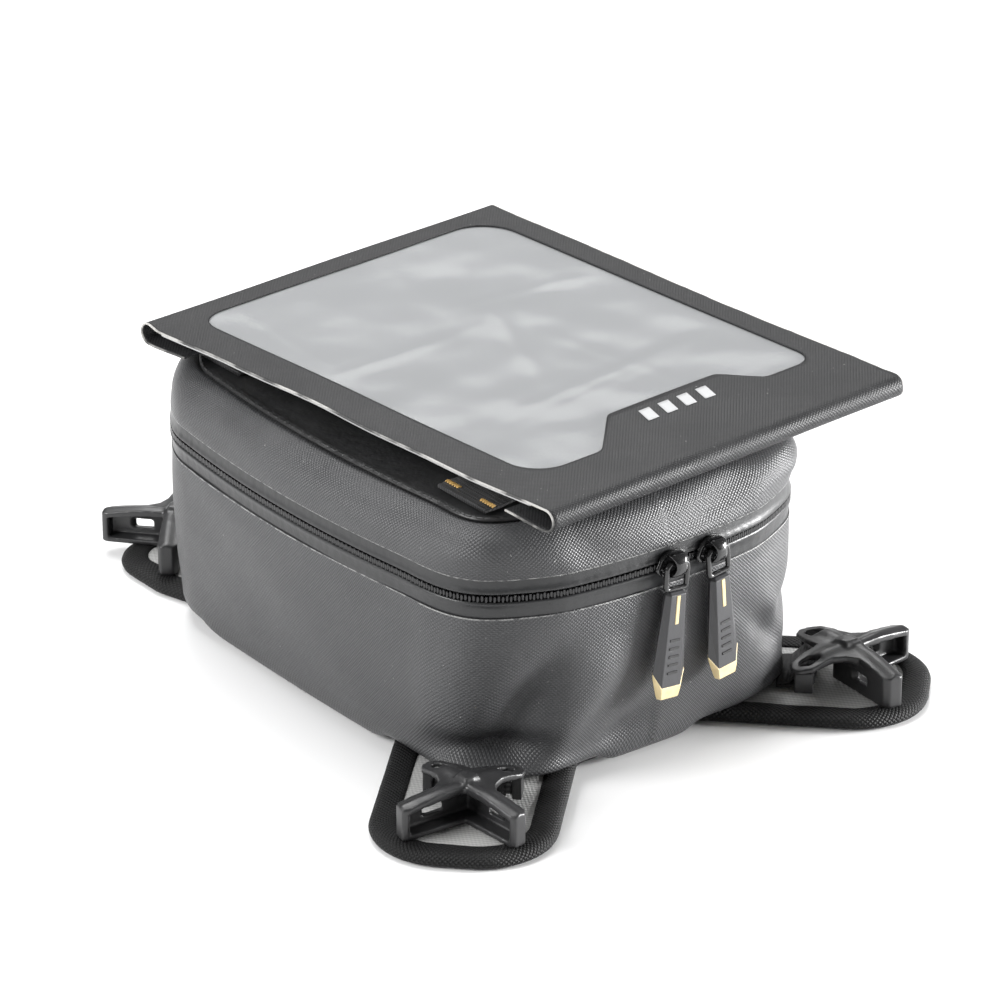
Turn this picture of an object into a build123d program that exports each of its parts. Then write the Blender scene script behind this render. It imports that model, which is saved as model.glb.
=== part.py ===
from build123d import *
import math
import os

os.makedirs("parts", exist_ok=True)

# Millimetres, +Z up, underside of the pad on z = 0, rider's side towards -Y.

# ---- bag body: plan outline and heights
HALF_X = 63.0            # plan corner before rounding
HALF_Y = 90.5
CORNER_R = 29.0
BOW_ZIP = 9.0            # how far each side bulges at the zip
SHELL_T = 1.5
BODY_Z0 = 4.0
SHELL_TOP_Z = 63.2
LID_Z0 = 72.4
LID_TOP_Z = 89.0
BODY_SECTIONS = ((BODY_Z0, 2.5, 1.5), (7.5, 3.0, 0.6), (13.0, 4.0, 0.2), (22.0, 5.5, 0.0),
                 (38.0, 8.0, 0.0), (54.0, BOW_ZIP, 0.0), (SHELL_TOP_Z, BOW_ZIP, 0.0))
LID_SECTIONS = ((LID_Z0, BOW_ZIP, 0.0), (76.5, BOW_ZIP, 0.0), (80.5, 8.6, 0.6), (84.0, 8.0, 2.2),
                (86.8, 7.5, 4.8), (88.4, 7.0, 8.0), (LID_TOP_Z, 6.5, 11.5))

# ---- pad under the bag
GRIP_T = 0.7
PAD_FOAM_Z = (0.7, 2.8)
PAD_TOP_Z = (2.8, 3.4)
BINDING_Z = (0.1, 4.0)
BINDING_LEG_T = 0.6
BINDING_W = 9.0
PAD_CORNERS = ((24.0, -86.0, 8), (73.6, -135.6, 24), (114.6, -94.6, 24), (54.0, -34.0, 10),
               (54.0, 74.0, 10), (59.0, 92.0, 12), (59.0, 125.0, 18), (8.0, 125.0, 10), (8.0, 105.0, 6))

# ---- hooks
HOOK_Z0 = 4.4
HOOK_H = 12.0
HOOK_PLATE_T = 2.2
HOOK_FLANGE_T = 1.8
BAR_U = -14.0
BAR_Z = 8.2
BAR_R = 1.9
CHEEK_Z0 = 5.7
CHEEK_V = 13.6
HOOKS = {"front_left": (-76.0, -98.0, 225.0), "front_right": (76.0, -98.0, 315.0),
         "rear_left": (-38.0, 112.5, 180.0), "rear_right": (38.0, 112.5, 0.0)}

# ---- zip
ZIP_Z = 67.8
TAPE_IN = (1.6, 2.6)
CHAIN_OUT = 0.1
CHAIN_H = 1.75
CHAIN_HALF_GAP = 0.15
ZIP_END_Y = 83.0
CHAIN_END_Y = 80.8

# ---- sliders and pullers
ARC_R = (HALF_X ** 2 + BOW_ZIP ** 2) / (2 * BOW_ZIP)
FRONT_Y = -(HALF_Y + BOW_ZIP)
ARC_CENTRE_Y = FRONT_Y + ARC_R
SLIDER_TURN = {"left": 0.1, "right": 4.1}     # degrees round the front arc
PULLER_LEAN = {"left": -5.0, "right": 5.0}    # degrees off plumb, each towards its own side
PIVOT_DY = -3.6
PIVOT_Z = 69.2
LOOP_R = 0.9
LOOP_Z0 = 59.9
LOOP_HALF_X = 4.9
TAB_TOP_Z = 59.6
TAB_WIDE_Z = 33.0
TAB_FRONT_Z = 28.3
TIP_Z = 24.4
INLAY_MID_Z = 54.3
INLAY_H = 9.4
INLAY_W = 1.5

# ---- lid fittings and pocket
PANEL_Z = (89.0, 90.2)
STRAP_Z = (91.4, 92.6)
STRAP_Y = 64.0
STRAP_W = 24.0
STRAP_HALF_X = 52.0
FLAP_LOW_Z = (90.4, 91.1)
FLAP_HIGH_Z = (92.9, 93.6)
GRAB_Z = (93.6, 94.6)
POCKET_BACK_Z = (94.6, 95.2)
POCKET_GAP = 4.8
SHEET_T = 0.7
POCKET_X = 148.0
POCKET_Y = 186.0
POCKET_AT = (16.5, -3.0)
POCKET_YAW = 4.6
WINDOW_CORNERS = ((-60, -74, 12), (-33, -74, 6), (-14, -56, 4), (32, -56, 4), (42, -68, 5),
                  (64, -68, 8), (64, 86, 14), (-60, 86, 10))
FILM_AT = (2.0, 4.0)
FILM_X = 135.0
FILM_Y = 167.0
WINDOW_Z = (POCKET_BACK_Z[1] + POCKET_GAP, POCKET_BACK_Z[1] + POCKET_GAP + SHEET_T)
FRAME_Z = (WINDOW_Z[1], WINDOW_Z[1] + SHEET_T)
MARK_AT = (-4.5, -64.5)
MARK_PITCH = 8.0


def save(piece, name):
    piece.part.label = name
    export_step(piece.part, f"parts/{name}.step")


def bag_outline(sketch, bow, inset):
    hx = HALF_X - inset
    hy = HALF_Y - inset
    with BuildLine() as edge:
        ThreePointArc((-hx, -hy), (0, -hy - bow), (hx, -hy))
        ThreePointArc((hx, -hy), (hx + bow, 0), (hx, hy))
        ThreePointArc((hx, hy), (0, hy + bow), (-hx, hy))
        ThreePointArc((-hx, hy), (-hx - bow, 0), (-hx, -hy))
    make_face(edge.edges())
    fillet(sketch.vertices(), CORNER_R - inset)


def loft_sections(sections, inset, mode=Mode.ADD):
    faces = []
    for z, bow, pull in sections:
        with BuildSketch(Plane.XY.offset(z)) as section:
            bag_outline(section, bow, pull + inset)
        faces.append(section.sketch.face())
    loft(faces, ruled=True, mode=mode)


def bag_ring(z0, z1, outer_inset, inner_inset):
    with BuildSketch(Plane.XY.offset(z0)) as outer:
        bag_outline(outer, BOW_ZIP, outer_inset)
    extrude(outer.sketch, amount=z1 - z0)
    with BuildSketch(Plane.XY.offset(z0)) as inner:
        bag_outline(inner, BOW_ZIP, inner_inset)
    extrude(inner.sketch, amount=z1 - z0, mode=Mode.SUBTRACT)


def keep_y(low, high):
    with BuildSketch(Plane.XY) as band:
        with Locations((0, (low + high) / 2)):
            Rectangle(400, high - low)
    extrude(band.sketch, amount=200, mode=Mode.INTERSECT)


def pad_outline(sketch, inset):
    right = [(x, y) for x, y, r in PAD_CORNERS]
    left = [(-x, y) for x, y, r in reversed(PAD_CORNERS)]
    with BuildLine() as edge:
        Polyline(*right, *left, close=True)
    make_face(edge.edges())
    for x, y, r in PAD_CORNERS:
        for side in (1, -1):
            corner = sketch.vertices().sort_by_distance((side * x, y, 0))[0]
            fillet(corner, r)
    if inset:
        offset(amount=-inset, mode=Mode.REPLACE)


# ---------------------------------------------------------------- pad
with BuildPart() as base_grip_sheet:
    with BuildSketch(Plane.XY) as s:
        pad_outline(s, BINDING_W + 0.4)
    extrude(amount=GRIP_T)
save(base_grip_sheet, "base_grip_sheet")

with BuildPart() as base_foam:
    with BuildSketch(Plane.XY.offset(PAD_FOAM_Z[0])) as s:
        pad_outline(s, 0.8)
    extrude(amount=PAD_FOAM_Z[1] - PAD_FOAM_Z[0])
save(base_foam, "base_foam")

with BuildPart() as base_top_sheet:
    with BuildSketch(Plane.XY.offset(PAD_TOP_Z[0])) as s:
        pad_outline(s, 0.8)
    extrude(amount=PAD_TOP_Z[1] - PAD_TOP_Z[0])
save(base_top_sheet, "base_top_sheet")

with BuildPart() as base_binding:
    with BuildSketch(Plane.XY.offset(BINDING_Z[0])) as s:
        pad_outline(s, 0)
    extrude(amount=BINDING_Z[1] - BINDING_Z[0])
    with BuildSketch(Plane.XY.offset(BINDING_Z[0])) as s:
        pad_outline(s, BINDING_W)
    extrude(amount=BINDING_Z[1] - BINDING_Z[0], mode=Mode.SUBTRACT)
    with BuildSketch(Plane.XY.offset(BINDING_Z[0] + BINDING_LEG_T)) as s:
        pad_outline(s, 0.8)
    extrude(amount=BINDING_Z[1] - BINDING_Z[0] - 2 * BINDING_LEG_T, mode=Mode.SUBTRACT)
save(base_binding, "base_binding")

# ---------------------------------------------------------------- hooks and their webbing tabs
TOP_X = ((3.5, 0), (16.5, 15), (17, 17), (13.5, 19.5), (11, 19), (3.0, 9.5), (-1.0, 8.6), (-5, 10), (-11, 15.4),
         (-15.5, 15.8), (-18.0, 14), (-18.6, 10.5), (-15, 4.5), (-11, 0))
VEE = ((3.5, 0), (16.5, 15), (17, 17), (13.5, 19.5), (11, 19), (-6.1, 0))
WALL = ((-3.4, 0), (12.5, 17.7), (11, 19), (-6.1, 0))
EYE = ((-8.6, 9.6), (-12.2, 12.9), (-15.6, 12.6), (-15.8, 10.2), (-13.4, 7.2))
TIPS = ((12.5, 17.7), (15.3, 14.9), (16.5, 15), (17, 17), (13.5, 19.5), (11, 19))


def mirrored(points):
    low = [(u, -v) for u, v in reversed(points) if v != 0]
    return [*points, *low]


for name, (cx, cy, turn) in HOOKS.items():
    heading = math.radians(turn)
    frame = Plane(origin=(cx, cy, 0), x_dir=(math.cos(heading), math.sin(heading), 0), z_dir=(0, 0, 1))
    across = Plane(origin=frame.from_local_coords((BAR_U, 0, BAR_Z)),
                   x_dir=frame.x_dir, z_dir=frame.y_dir)
    top_z = HOOK_Z0 + HOOK_H
    with BuildPart() as hook:
        with BuildSketch(frame.offset(top_z - HOOK_PLATE_T)):
            with BuildLine():
                Polyline(*mirrored(TOP_X), close=True)
            make_face()
        extrude(amount=HOOK_PLATE_T)
        with BuildSketch(frame.offset(HOOK_Z0)):
            with BuildLine():
                Polyline(*mirrored(VEE), close=True)
            make_face()
        extrude(amount=HOOK_FLANGE_T)
        with BuildSketch(frame.offset(HOOK_Z0)):
            with BuildLine():
                Polyline(*mirrored(WALL), close=True)
            make_face()
            for side in (1, -1):
                with BuildLine():
                    Polyline(*[(u, side * v) for u, v in TIPS], close=True)
                make_face()
        extrude(amount=HOOK_H - HOOK_PLATE_T)
        with BuildSketch(frame.offset(CHEEK_Z0)):
            with Locations((BAR_U, CHEEK_V), (BAR_U, -CHEEK_V)):
                Rectangle(6, 3)
        extrude(amount=top_z - HOOK_PLATE_T - CHEEK_Z0)
        with BuildSketch(across.offset(-13)):
            Circle(BAR_R)
        extrude(amount=26)
        # window slots through the back wall of each arm
        with BuildSketch(frame.offset(HOOK_Z0 + 4.0)):
            with Locations((6, 10), (6, -10)):
                Rectangle(14, 5.5)
        extrude(amount=3.0, mode=Mode.SUBTRACT)
        # a three-cornered eye through each inner lobe
        with BuildSketch(frame.offset(top_z - HOOK_PLATE_T)):
            for side in (1, -1):
                with BuildLine():
                    Polyline(*[(u, side * v) for u, v in EYE], close=True)
                make_face()
        extrude(amount=HOOK_PLATE_T, mode=Mode.SUBTRACT)
        # raised middle ridge
        with BuildSketch(frame.offset(top_z)):
            with BuildLine():
                Polyline((3.2, 0), (-1.5, 4.5), (-7, 0), (-1.5, -4.5), close=True)
            make_face()
        extrude(amount=1.3, taper=35)
    save(hook, f"hook_{name}")

    with BuildPart() as tab:
        with BuildSketch(across.offset(-10)):
            Circle(BAR_R + 1.6)
            Circle(BAR_R + 0.4, mode=Mode.SUBTRACT)
        extrude(amount=20)
        with BuildSketch(frame.offset(BAR_Z - BAR_R - 1.6)):
            with Locations((BAR_U - 4.4, 0)):
                Rectangle(8.2, 20)
        extrude(amount=1.1)
    save(tab, f"hook_tab_{name}")

# ---------------------------------------------------------------- bag body
with BuildPart() as body_shell:
    loft_sections(BODY_SECTIONS, 0)
    inner = ((BODY_Z0 + SHELL_T, 2.8, 1.2),) + BODY_SECTIONS[1:]
    loft_sections(inner, SHELL_T, Mode.SUBTRACT)
save(body_shell, "body_shell")

with BuildPart() as base_board:
    with BuildSketch(Plane.XY.offset(BODY_Z0 + SHELL_T)) as s:
        bag_outline(s, 1.6, 8.5)
    extrude(amount=2.0)
save(base_board, "base_board")

LINING_Z0 = BODY_Z0 + SHELL_T + 2.0
LINING_SECTIONS = ((LINING_Z0, 3.0, 1.0), (13.0, 4.0, 0.2), (22.0, 5.5, 0.0), (38.0, 8.0, 0.0),
                   (54.0, BOW_ZIP, 0.0), (59.5, BOW_ZIP, 0.0))
with BuildPart() as body_lining:
    loft_sections(LINING_SECTIONS, 2.0)
    hollow = ((LINING_Z0 + 1.0, 3.2, 0.9),) + LINING_SECTIONS[1:]
    loft_sections(hollow, 3.0, Mode.SUBTRACT)
save(body_lining, "body_lining")

# ---------------------------------------------------------------- zip
for name, z0, z1 in (("zipper_tape_lower", 60.0, ZIP_Z - 0.4), ("zipper_tape_upper", ZIP_Z + 0.4, 75.6)):
    with BuildPart() as tape:
        bag_ring(z0, z1, *TAPE_IN)
        keep_y(-150, ZIP_END_Y)
    save(tape, name)

for name, z0 in (("zipper_chain_lower", ZIP_Z - CHAIN_HALF_GAP - CHAIN_H), ("zipper_chain_upper", ZIP_Z + CHAIN_HALF_GAP)):
    with BuildPart() as chain:
        bag_ring(z0, z0 + CHAIN_H, -CHAIN_OUT, TAPE_IN[0])
        keep_y(-150, CHAIN_END_Y)
    save(chain, name)

with BuildPart() as zipper_end_stops:
    bag_ring(ZIP_Z - 2.3, ZIP_Z + 2.3, -CHAIN_OUT - 0.2, TAPE_IN[0] - 0.3)
    keep_y(CHAIN_END_Y + 0.4, ZIP_END_Y + 0.6)
save(zipper_end_stops, "zipper_end_stops")

with BuildPart() as rear_hinge_strip:
    bag_ring(SHELL_TOP_Z, LID_Z0 - 0.3, 0, SHELL_T)
    keep_y(ZIP_END_Y + 1.2, 150)
save(rear_hinge_strip, "rear_hinge_strip")

# ---------------------------------------------------------------- lid
with BuildPart() as lid_shell:
    loft_sections(LID_SECTIONS, 0)
    under = LID_SECTIONS[:-1] + ((LID_TOP_Z - SHELL_T, 7.0, 8.6),)
    under = tuple((z, bow, pull) for z, bow, pull in under if z <= 86.8 or z == LID_TOP_Z - SHELL_T)
    loft_sections(under, SHELL_T, Mode.SUBTRACT)
save(lid_shell, "lid_shell")

with BuildPart() as lid_board:
    with BuildSketch(Plane.XY.offset(LID_TOP_Z - SHELL_T - 1.6)) as s:
        bag_outline(s, 7.0, 12.0)
    extrude(amount=1.6)
save(lid_board, "lid_board")

with BuildPart() as lid_top_panel:
    with BuildSketch(Plane.XY.offset(PANEL_Z[0])) as s:
        bag_outline(s, 6.5, 12.0)
    extrude(amount=PANEL_Z[1] - PANEL_Z[0])
save(lid_top_panel, "lid_top_panel")

for name, y in (("lid_strap_front", -STRAP_Y), ("lid_strap_rear", STRAP_Y)):
    with BuildPart() as strap:
        with BuildSketch(Plane.XY.offset(STRAP_Z[0])):
            with Locations((0, y)):
                Rectangle(2 * STRAP_HALF_X, STRAP_W)
        extrude(amount=STRAP_Z[1] - STRAP_Z[0])
        with BuildSketch(Plane.XY.offset(PANEL_Z[1])):
            with Locations((STRAP_HALF_X - 3.5, y), (3.5 - STRAP_HALF_X, y)):
                Rectangle(7, STRAP_W)
        extrude(amount=STRAP_Z[0] - PANEL_Z[1])
    save(strap, name)

with BuildPart() as strap_bar_tacks:
    with BuildSketch(Plane.XY.offset(STRAP_Z[1])):
        for x in (STRAP_HALF_X - 3.5, 3.5 - STRAP_HALF_X):
            for y in (STRAP_Y, -STRAP_Y):
                for edge in (-8.5, 8.5):
                    with Locations((x, y + edge)):
                        Rectangle(1.8, 6)
    extrude(amount=0.3)
save(strap_bar_tacks, "strap_bar_tacks")

# ---------------------------------------------------------------- phone pocket on the lid
px, py = POCKET_AT
yaw = math.radians(POCKET_YAW)
pocket = Plane(origin=(px, py, 0), x_dir=(math.cos(yaw), math.sin(yaw), 0), z_dir=(0, 0, 1))
RIM = 5.0

with BuildPart() as pocket_back:
    with BuildSketch(pocket.offset(POCKET_BACK_Z[0])):
        RectangleRounded(POCKET_X, POCKET_Y, 3)
    extrude(amount=POCKET_BACK_Z[1] - POCKET_BACK_Z[0])
save(pocket_back, "pocket_back")

with BuildPart() as pocket_window:
    with BuildSketch(pocket.offset(WINDOW_Z[0])):
        with Locations(FILM_AT):
            RectangleRounded(FILM_X, FILM_Y, 15)
    extrude(amount=SHEET_T)
save(pocket_window, "pocket_window")

with BuildPart() as pocket_frame:
    with BuildSketch(pocket.offset(FRAME_Z[0])):
        RectangleRounded(POCKET_X, POCKET_Y, 3)
    extrude(amount=SHEET_T)
    with BuildSketch(pocket.offset(FRAME_Z[0])) as hole:
        with BuildLine():
            Polyline(*[(u, v) for u, v, r in WINDOW_CORNERS], close=True)
        make_face()
        for u, v, r in WINDOW_CORNERS:
            fillet(hole.vertices().sort_by_distance(pocket.offset(FRAME_Z[0]).from_local_coords((u, v, 0)))[0], r)
    extrude(amount=SHEET_T, mode=Mode.SUBTRACT)
    # the weld down to the back sheet on three sides; the mouth is left open at +X
    with BuildSketch(pocket.offset(POCKET_BACK_Z[1])):
        RectangleRounded(POCKET_X, POCKET_Y, 3)
        with Locations((RIM, 0)):
            Rectangle(POCKET_X, POCKET_Y - 2 * RIM, mode=Mode.SUBTRACT)
    extrude(amount=FRAME_Z[0] - POCKET_BACK_Z[1])
save(pocket_frame, "pocket_frame")

with BuildPart() as pocket_mark:
    with BuildSketch(pocket.offset(FRAME_Z[1])):
        for k in range(4):
            u = MARK_AT[0] + MARK_PITCH * k
            v = MARK_AT[1]
            with BuildLine():
                Polyline((u - 3.4, v - 3.6), (u + 1.0, v - 3.6), (u + 3.4, v + 3.6), (u - 1.0, v + 3.6), close=True)
            make_face()
    extrude(amount=0.15)
save(pocket_mark, "pocket_mark")

# each end of the pocket rolls under and runs back beneath the lid strap
side_plane = Plane(origin=(px, py, 0), x_dir=(-math.sin(yaw), math.cos(yaw), 0), z_dir=(math.cos(yaw), math.sin(yaw), 0))
END_V = POCKET_Y / 2 + 0.2
FLAP_HALF_U = 22.0
for name, sign in (("pocket_fold_front", -1), ("pocket_fold_rear", 1)):
    near = sign * (sign * STRAP_Y - py) - 15.0       # just inside the strap
    far = near + 30.5                                # just outside it
    mid = (FRAME_Z[1] + FLAP_HIGH_Z[0]) / 2
    high = FRAME_Z[1] - mid
    with BuildPart() as fold:
        with BuildSketch(side_plane.offset(-POCKET_X / 2)):
            with Locations((sign * END_V, mid)):
                Circle(high)
                Circle(high - SHEET_T, mode=Mode.SUBTRACT)
            with Locations((sign * (END_V - 0.2 - high / 2), mid)):
                Rectangle(high, 4 * high, mode=Mode.SUBTRACT)
        extrude(amount=POCKET_X)
        # the flap: in above the lid, under the strap, up and back over the strap
        with BuildSketch(side_plane.offset(-FLAP_HALF_U)):
            with BuildLine():
                Polyline((sign * END_V, FLAP_HIGH_Z[1]), (sign * (far + 2.5), FLAP_HIGH_Z[1]),
                         (sign * far, FLAP_LOW_Z[1]), (sign * near, FLAP_LOW_Z[1]),
                         (sign * near, FLAP_HIGH_Z[0]), (sign * (far - 2.5), FLAP_HIGH_Z[0]),
                         (sign * (far - 2.5), FLAP_HIGH_Z[1]), (sign * (near - SHEET_T), FLAP_HIGH_Z[1]),
                         (sign * (near - SHEET_T), FLAP_LOW_Z[0]), (sign * (far + 0.5), FLAP_LOW_Z[0]),
                         (sign * (far + 3.0), FLAP_HIGH_Z[0]), (sign * END_V, FLAP_HIGH_Z[0]), close=True)
            make_face()
        extrude(amount=2 * FLAP_HALF_U)
    save(fold, name)

for name, sign in (("hook_loop_front", -1), ("hook_loop_rear", 1)):
    with BuildPart() as grab:
        with BuildSketch(pocket.offset(GRAB_Z[0])):
            with Locations((0, sign * STRAP_Y - py)):
                Rectangle(2 * FLAP_HALF_U - 4, 24)
        extrude(amount=GRAB_Z[1] - GRAB_Z[0])
    save(grab, name)

# ---------------------------------------------------------------- sliders and pullers
for name, turn in SLIDER_TURN.items():
    spin = math.radians(turn)
    ox = math.sin(spin) * ARC_R
    oy = ARC_CENTRE_Y - math.cos(spin) * ARC_R
    front = Plane(origin=(ox, oy, 0), x_dir=(math.cos(spin), math.sin(spin), 0),
                  z_dir=(math.sin(spin), -math.cos(spin), 0))
    # front: local x along the zip, local y up, local z outwards from the bag
    with BuildPart() as slider:
        with BuildSketch(front.offset(0.5)):
            with BuildLine():
                Polyline((-6.8, 67.2), (-4.5, 64.4), (4.5, 64.4), (6.8, 67.2), (4.8, 71.2), (0, 72.8),
                         (-4.8, 71.2), close=True)
            make_face()
        extrude(amount=1.7)
        with BuildSketch(front.offset(2.2)):
            with Locations((0, 65.8), (0, 71.4)):
                Rectangle(5, 1.2)
        extrude(amount=2.8)
        with BuildSketch(front.offset(5.0)):
            with Locations((0, 68.6)):
                Rectangle(5, 6.8)
        extrude(amount=1.2)
    save(slider, f"slider_{name}")

    lean = math.radians(PULLER_LEAN[name])
    lean_x = front.x_dir * math.cos(lean) + front.y_dir * math.sin(lean)
    hang = Plane(origin=front.from_local_coords((PIVOT_Z * math.sin(lean), PIVOT_Z * (1 - math.cos(lean)), 0)),
                 x_dir=lean_x, z_dir=front.z_dir)
    with BuildPart() as loop:
        with BuildSketch(hang.offset(-PIVOT_DY - LOOP_R)):
            with Locations((0, (PIVOT_Z + LOOP_Z0) / 2)):
                Rectangle(2 * LOOP_HALF_X, PIVOT_Z - LOOP_Z0)
            with Locations((0, (PIVOT_Z + LOOP_Z0) / 2 + LOOP_R)):
                Rectangle(2 * LOOP_HALF_X - 4 * LOOP_R, PIVOT_Z - LOOP_Z0, mode=Mode.SUBTRACT)
        extrude(amount=2 * LOOP_R)
        pin = Plane(origin=hang.from_local_coords((-LOOP_HALF_X, PIVOT_Z, -PIVOT_DY)),
                    x_dir=hang.y_dir, z_dir=hang.x_dir)
        with BuildSketch(pin):
            Circle(LOOP_R)
        extrude(amount=2 * LOOP_HALF_X)
    save(loop, f"puller_loop_{name}")

    with BuildPart() as puller:
        with BuildSketch(hang.offset(1.9)):
            with BuildLine():
                Polyline((-3.9, TAB_TOP_Z), (3.9, TAB_TOP_Z), (6.3, TAB_WIDE_Z), (3.6, TAB_FRONT_Z),
                         (-3.6, TAB_FRONT_Z), (-6.3, TAB_WIDE_Z), close=True)
            make_face()
            with Locations((0, INLAY_MID_Z)):
                Rectangle(INLAY_W, INLAY_H, mode=Mode.SUBTRACT)
        extrude(amount=3.4)
    save(puller, f"puller_body_{name}")

    with BuildPart() as tip:
        with BuildSketch(hang.offset(1.9)):
            with BuildLine():
                Polyline((-6.3, TAB_WIDE_Z), (-3.6, TAB_FRONT_Z), (3.6, TAB_FRONT_Z), (6.3, TAB_WIDE_Z),
                         (3.6, TIP_Z), (-3.6, TIP_Z), close=True)
            make_face()
        extrude(amount=3.4)
    save(tip, f"puller_tip_{name}")

    with BuildPart() as inlay:
        with BuildSketch(hang.offset(1.9)):
            with Locations((0, INLAY_MID_Z)):
                Rectangle(INLAY_W, INLAY_H)
        extrude(amount=3.5)
    save(inlay, f"puller_inlay_{name}")
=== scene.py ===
import bpy
import bmesh
import math
import numpy as np
from mathutils import Matrix, Vector


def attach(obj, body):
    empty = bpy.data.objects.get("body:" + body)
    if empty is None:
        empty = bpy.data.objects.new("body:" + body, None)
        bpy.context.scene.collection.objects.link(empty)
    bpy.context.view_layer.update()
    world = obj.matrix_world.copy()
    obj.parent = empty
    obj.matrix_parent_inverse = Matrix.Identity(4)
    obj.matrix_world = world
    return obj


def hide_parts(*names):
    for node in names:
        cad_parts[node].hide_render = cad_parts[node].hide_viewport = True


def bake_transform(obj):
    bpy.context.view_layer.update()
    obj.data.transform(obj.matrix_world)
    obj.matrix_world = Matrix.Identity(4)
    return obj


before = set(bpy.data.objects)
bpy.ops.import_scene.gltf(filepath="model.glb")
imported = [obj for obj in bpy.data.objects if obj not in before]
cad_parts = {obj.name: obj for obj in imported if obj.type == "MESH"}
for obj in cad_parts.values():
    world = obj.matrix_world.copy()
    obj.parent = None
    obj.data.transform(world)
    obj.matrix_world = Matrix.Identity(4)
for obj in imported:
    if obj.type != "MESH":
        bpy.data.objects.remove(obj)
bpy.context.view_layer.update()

# The stage: a white studio sweep under four soft lights and a long-lens camera
# that looks down on the bag from its front left corner.
VIEW_TURN = math.radians(37.5)
VIEW_TILT = math.radians(25.2)
VIEW_FROM = (-0.9773, -1.2889, 0.8129)
LENS_LENGTH = 203.3
SENSOR_WIDTH = 36.0
AIR_LIGHT = 0.24
FLOOR_HALF = 4.0


def stand(name, data):
    """A new object that holds this data, linked into the scene."""
    piece = bpy.data.objects.new(name, data)
    bpy.context.scene.collection.objects.link(piece)
    return piece


world = bpy.data.worlds.new("studio_air")
world.use_nodes = True
air = world.node_tree.nodes["Background"]
air.inputs["Color"].default_value = (1.0, 1.0, 1.0, 1.0)
air.inputs["Strength"].default_value = AIR_LIGHT
bpy.context.scene.world = world
bpy.context.scene.view_settings.view_transform = "Standard"

back_way = Vector((-math.sin(VIEW_TURN) * math.cos(VIEW_TILT),
                   -math.cos(VIEW_TURN) * math.cos(VIEW_TILT), math.sin(VIEW_TILT)))
right_way = Vector((math.cos(VIEW_TURN), -math.sin(VIEW_TURN), 0.0))
lens = bpy.data.cameras.new("studio_camera")
lens.lens = LENS_LENGTH
lens.sensor_width = SENSOR_WIDTH
camera = stand("studio_camera", lens)
turned = Matrix((right_way, back_way.cross(right_way), back_way)).transposed().to_4x4()
turned.translation = Vector(VIEW_FROM)
camera.matrix_world = turned
bpy.context.scene.camera = camera

# each lamp's name, place, watts and width, all aimed at the middle of the stage
for label, place, power, size in (("key_left", (-1.6, 0.35, 1.05), 38.0, 1.0),
                                  ("overhead", (0.15, 0.6, 1.8), 24.0, 1.2),
                                  ("front_right", (0.86, -0.58, 0.17), 26.0, 0.3),
                                  ("back_strip", (0.85, 1.1, 1.3), 11.0, 1.0)):
    lamp = bpy.data.lights.new(label, "AREA")
    lamp.energy = power
    lamp.size = size
    lit = stand(label, lamp)
    lit.location = place
    lit.rotation_euler = (-lit.location).to_track_quat("-Z", "Y").to_euler()


def paint(name, colour, roughness, **extra):
    """A principled finish; extra names are the shader's own sockets."""
    made = bpy.data.materials.new(name)
    made.use_nodes = True
    shader = made.node_tree.nodes["Principled BSDF"]
    shader.inputs["Base Color"].default_value = (*colour, 1.0)
    shader.inputs["Roughness"].default_value = roughness
    for key, value in extra.items():
        shader.inputs[key.replace("_", " ")].default_value = value
    return made


def face_out(mesh):
    """Turns every face of a closed form outwards."""
    work = bmesh.new()
    work.from_mesh(mesh)
    bmesh.ops.recalc_face_normals(work, faces=work.faces)
    work.to_mesh(mesh)
    work.free()


def surface(name, body, rows, uv=None, wrap=(False, False), caps=(False, False), mats=(),
            closed=True):
    """A skin through a grid of points rows[a, b]; wrap joins the last row or column to the first, and
    caps close the first and last rows with fans to their middles. uv[a, b] is in metres and has one
    more column (or row) than the points where the grid wraps."""
    a, b = rows.shape[:2]
    ia = np.arange(a if wrap[0] else a - 1)
    ib = np.arange(b if wrap[1] else b - 1)
    i, j = (grid.ravel() for grid in np.meshgrid(ia, ib, indexing="ij"))
    i2, j2 = (i + 1) % a, (j + 1) % b
    quads = np.stack([i * b + j, i * b + j2, i2 * b + j2, i2 * b + j], 1)
    verts = rows.reshape(-1, 3)
    faces = quads.tolist()
    if uv is not None:
        corner = np.stack([uv[i, j], uv[i, j + 1], uv[i + 1, j + 1], uv[i + 1, j]], 1).reshape(-1, 2)
    for end, row in ((0, 0), (1, a - 1)):
        if not caps[end]:
            continue
        middle = len(verts)
        verts = np.vstack([verts, rows[row].mean(0)])
        first = row * b + np.arange(b)
        second = row * b + (np.arange(b) + 1) % b
        fan = np.stack([first, second, np.full(b, middle)], 1)
        faces += (fan[:, ::-1] if end == 0 else fan).tolist()
        if uv is not None:
            flat = verts[fan[:, ::-1] if end == 0 else fan][..., :2].reshape(-1, 2)
            corner = np.vstack([corner, flat])
    mesh = bpy.data.meshes.new(name)
    mesh.from_pydata(verts.tolist(), [], faces)
    if uv is not None:
        layer = mesh.uv_layers.new(name="cloth")
        layer.data.foreach_set("uv", corner.astype(np.float32).ravel())
    mesh.polygons.foreach_set("use_smooth", np.ones(len(mesh.polygons), bool))
    piece = stand(name, mesh)
    if closed:
        face_out(mesh)
    for made in mats:
        mesh.materials.append(made)
    if body:
        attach(piece, body)
    return piece


floor_paint = paint("studio_paper", (0.93, 0.93, 0.93), 0.9)
floor_grid = np.array([[(x, y, 0.0) for x in (-FLOOR_HALF, FLOOR_HALF)] for y in (-FLOOR_HALF, FLOOR_HALF)])
sweep = surface("studio_floor", None, floor_grid, mats=(floor_paint,), closed=False)

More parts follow.
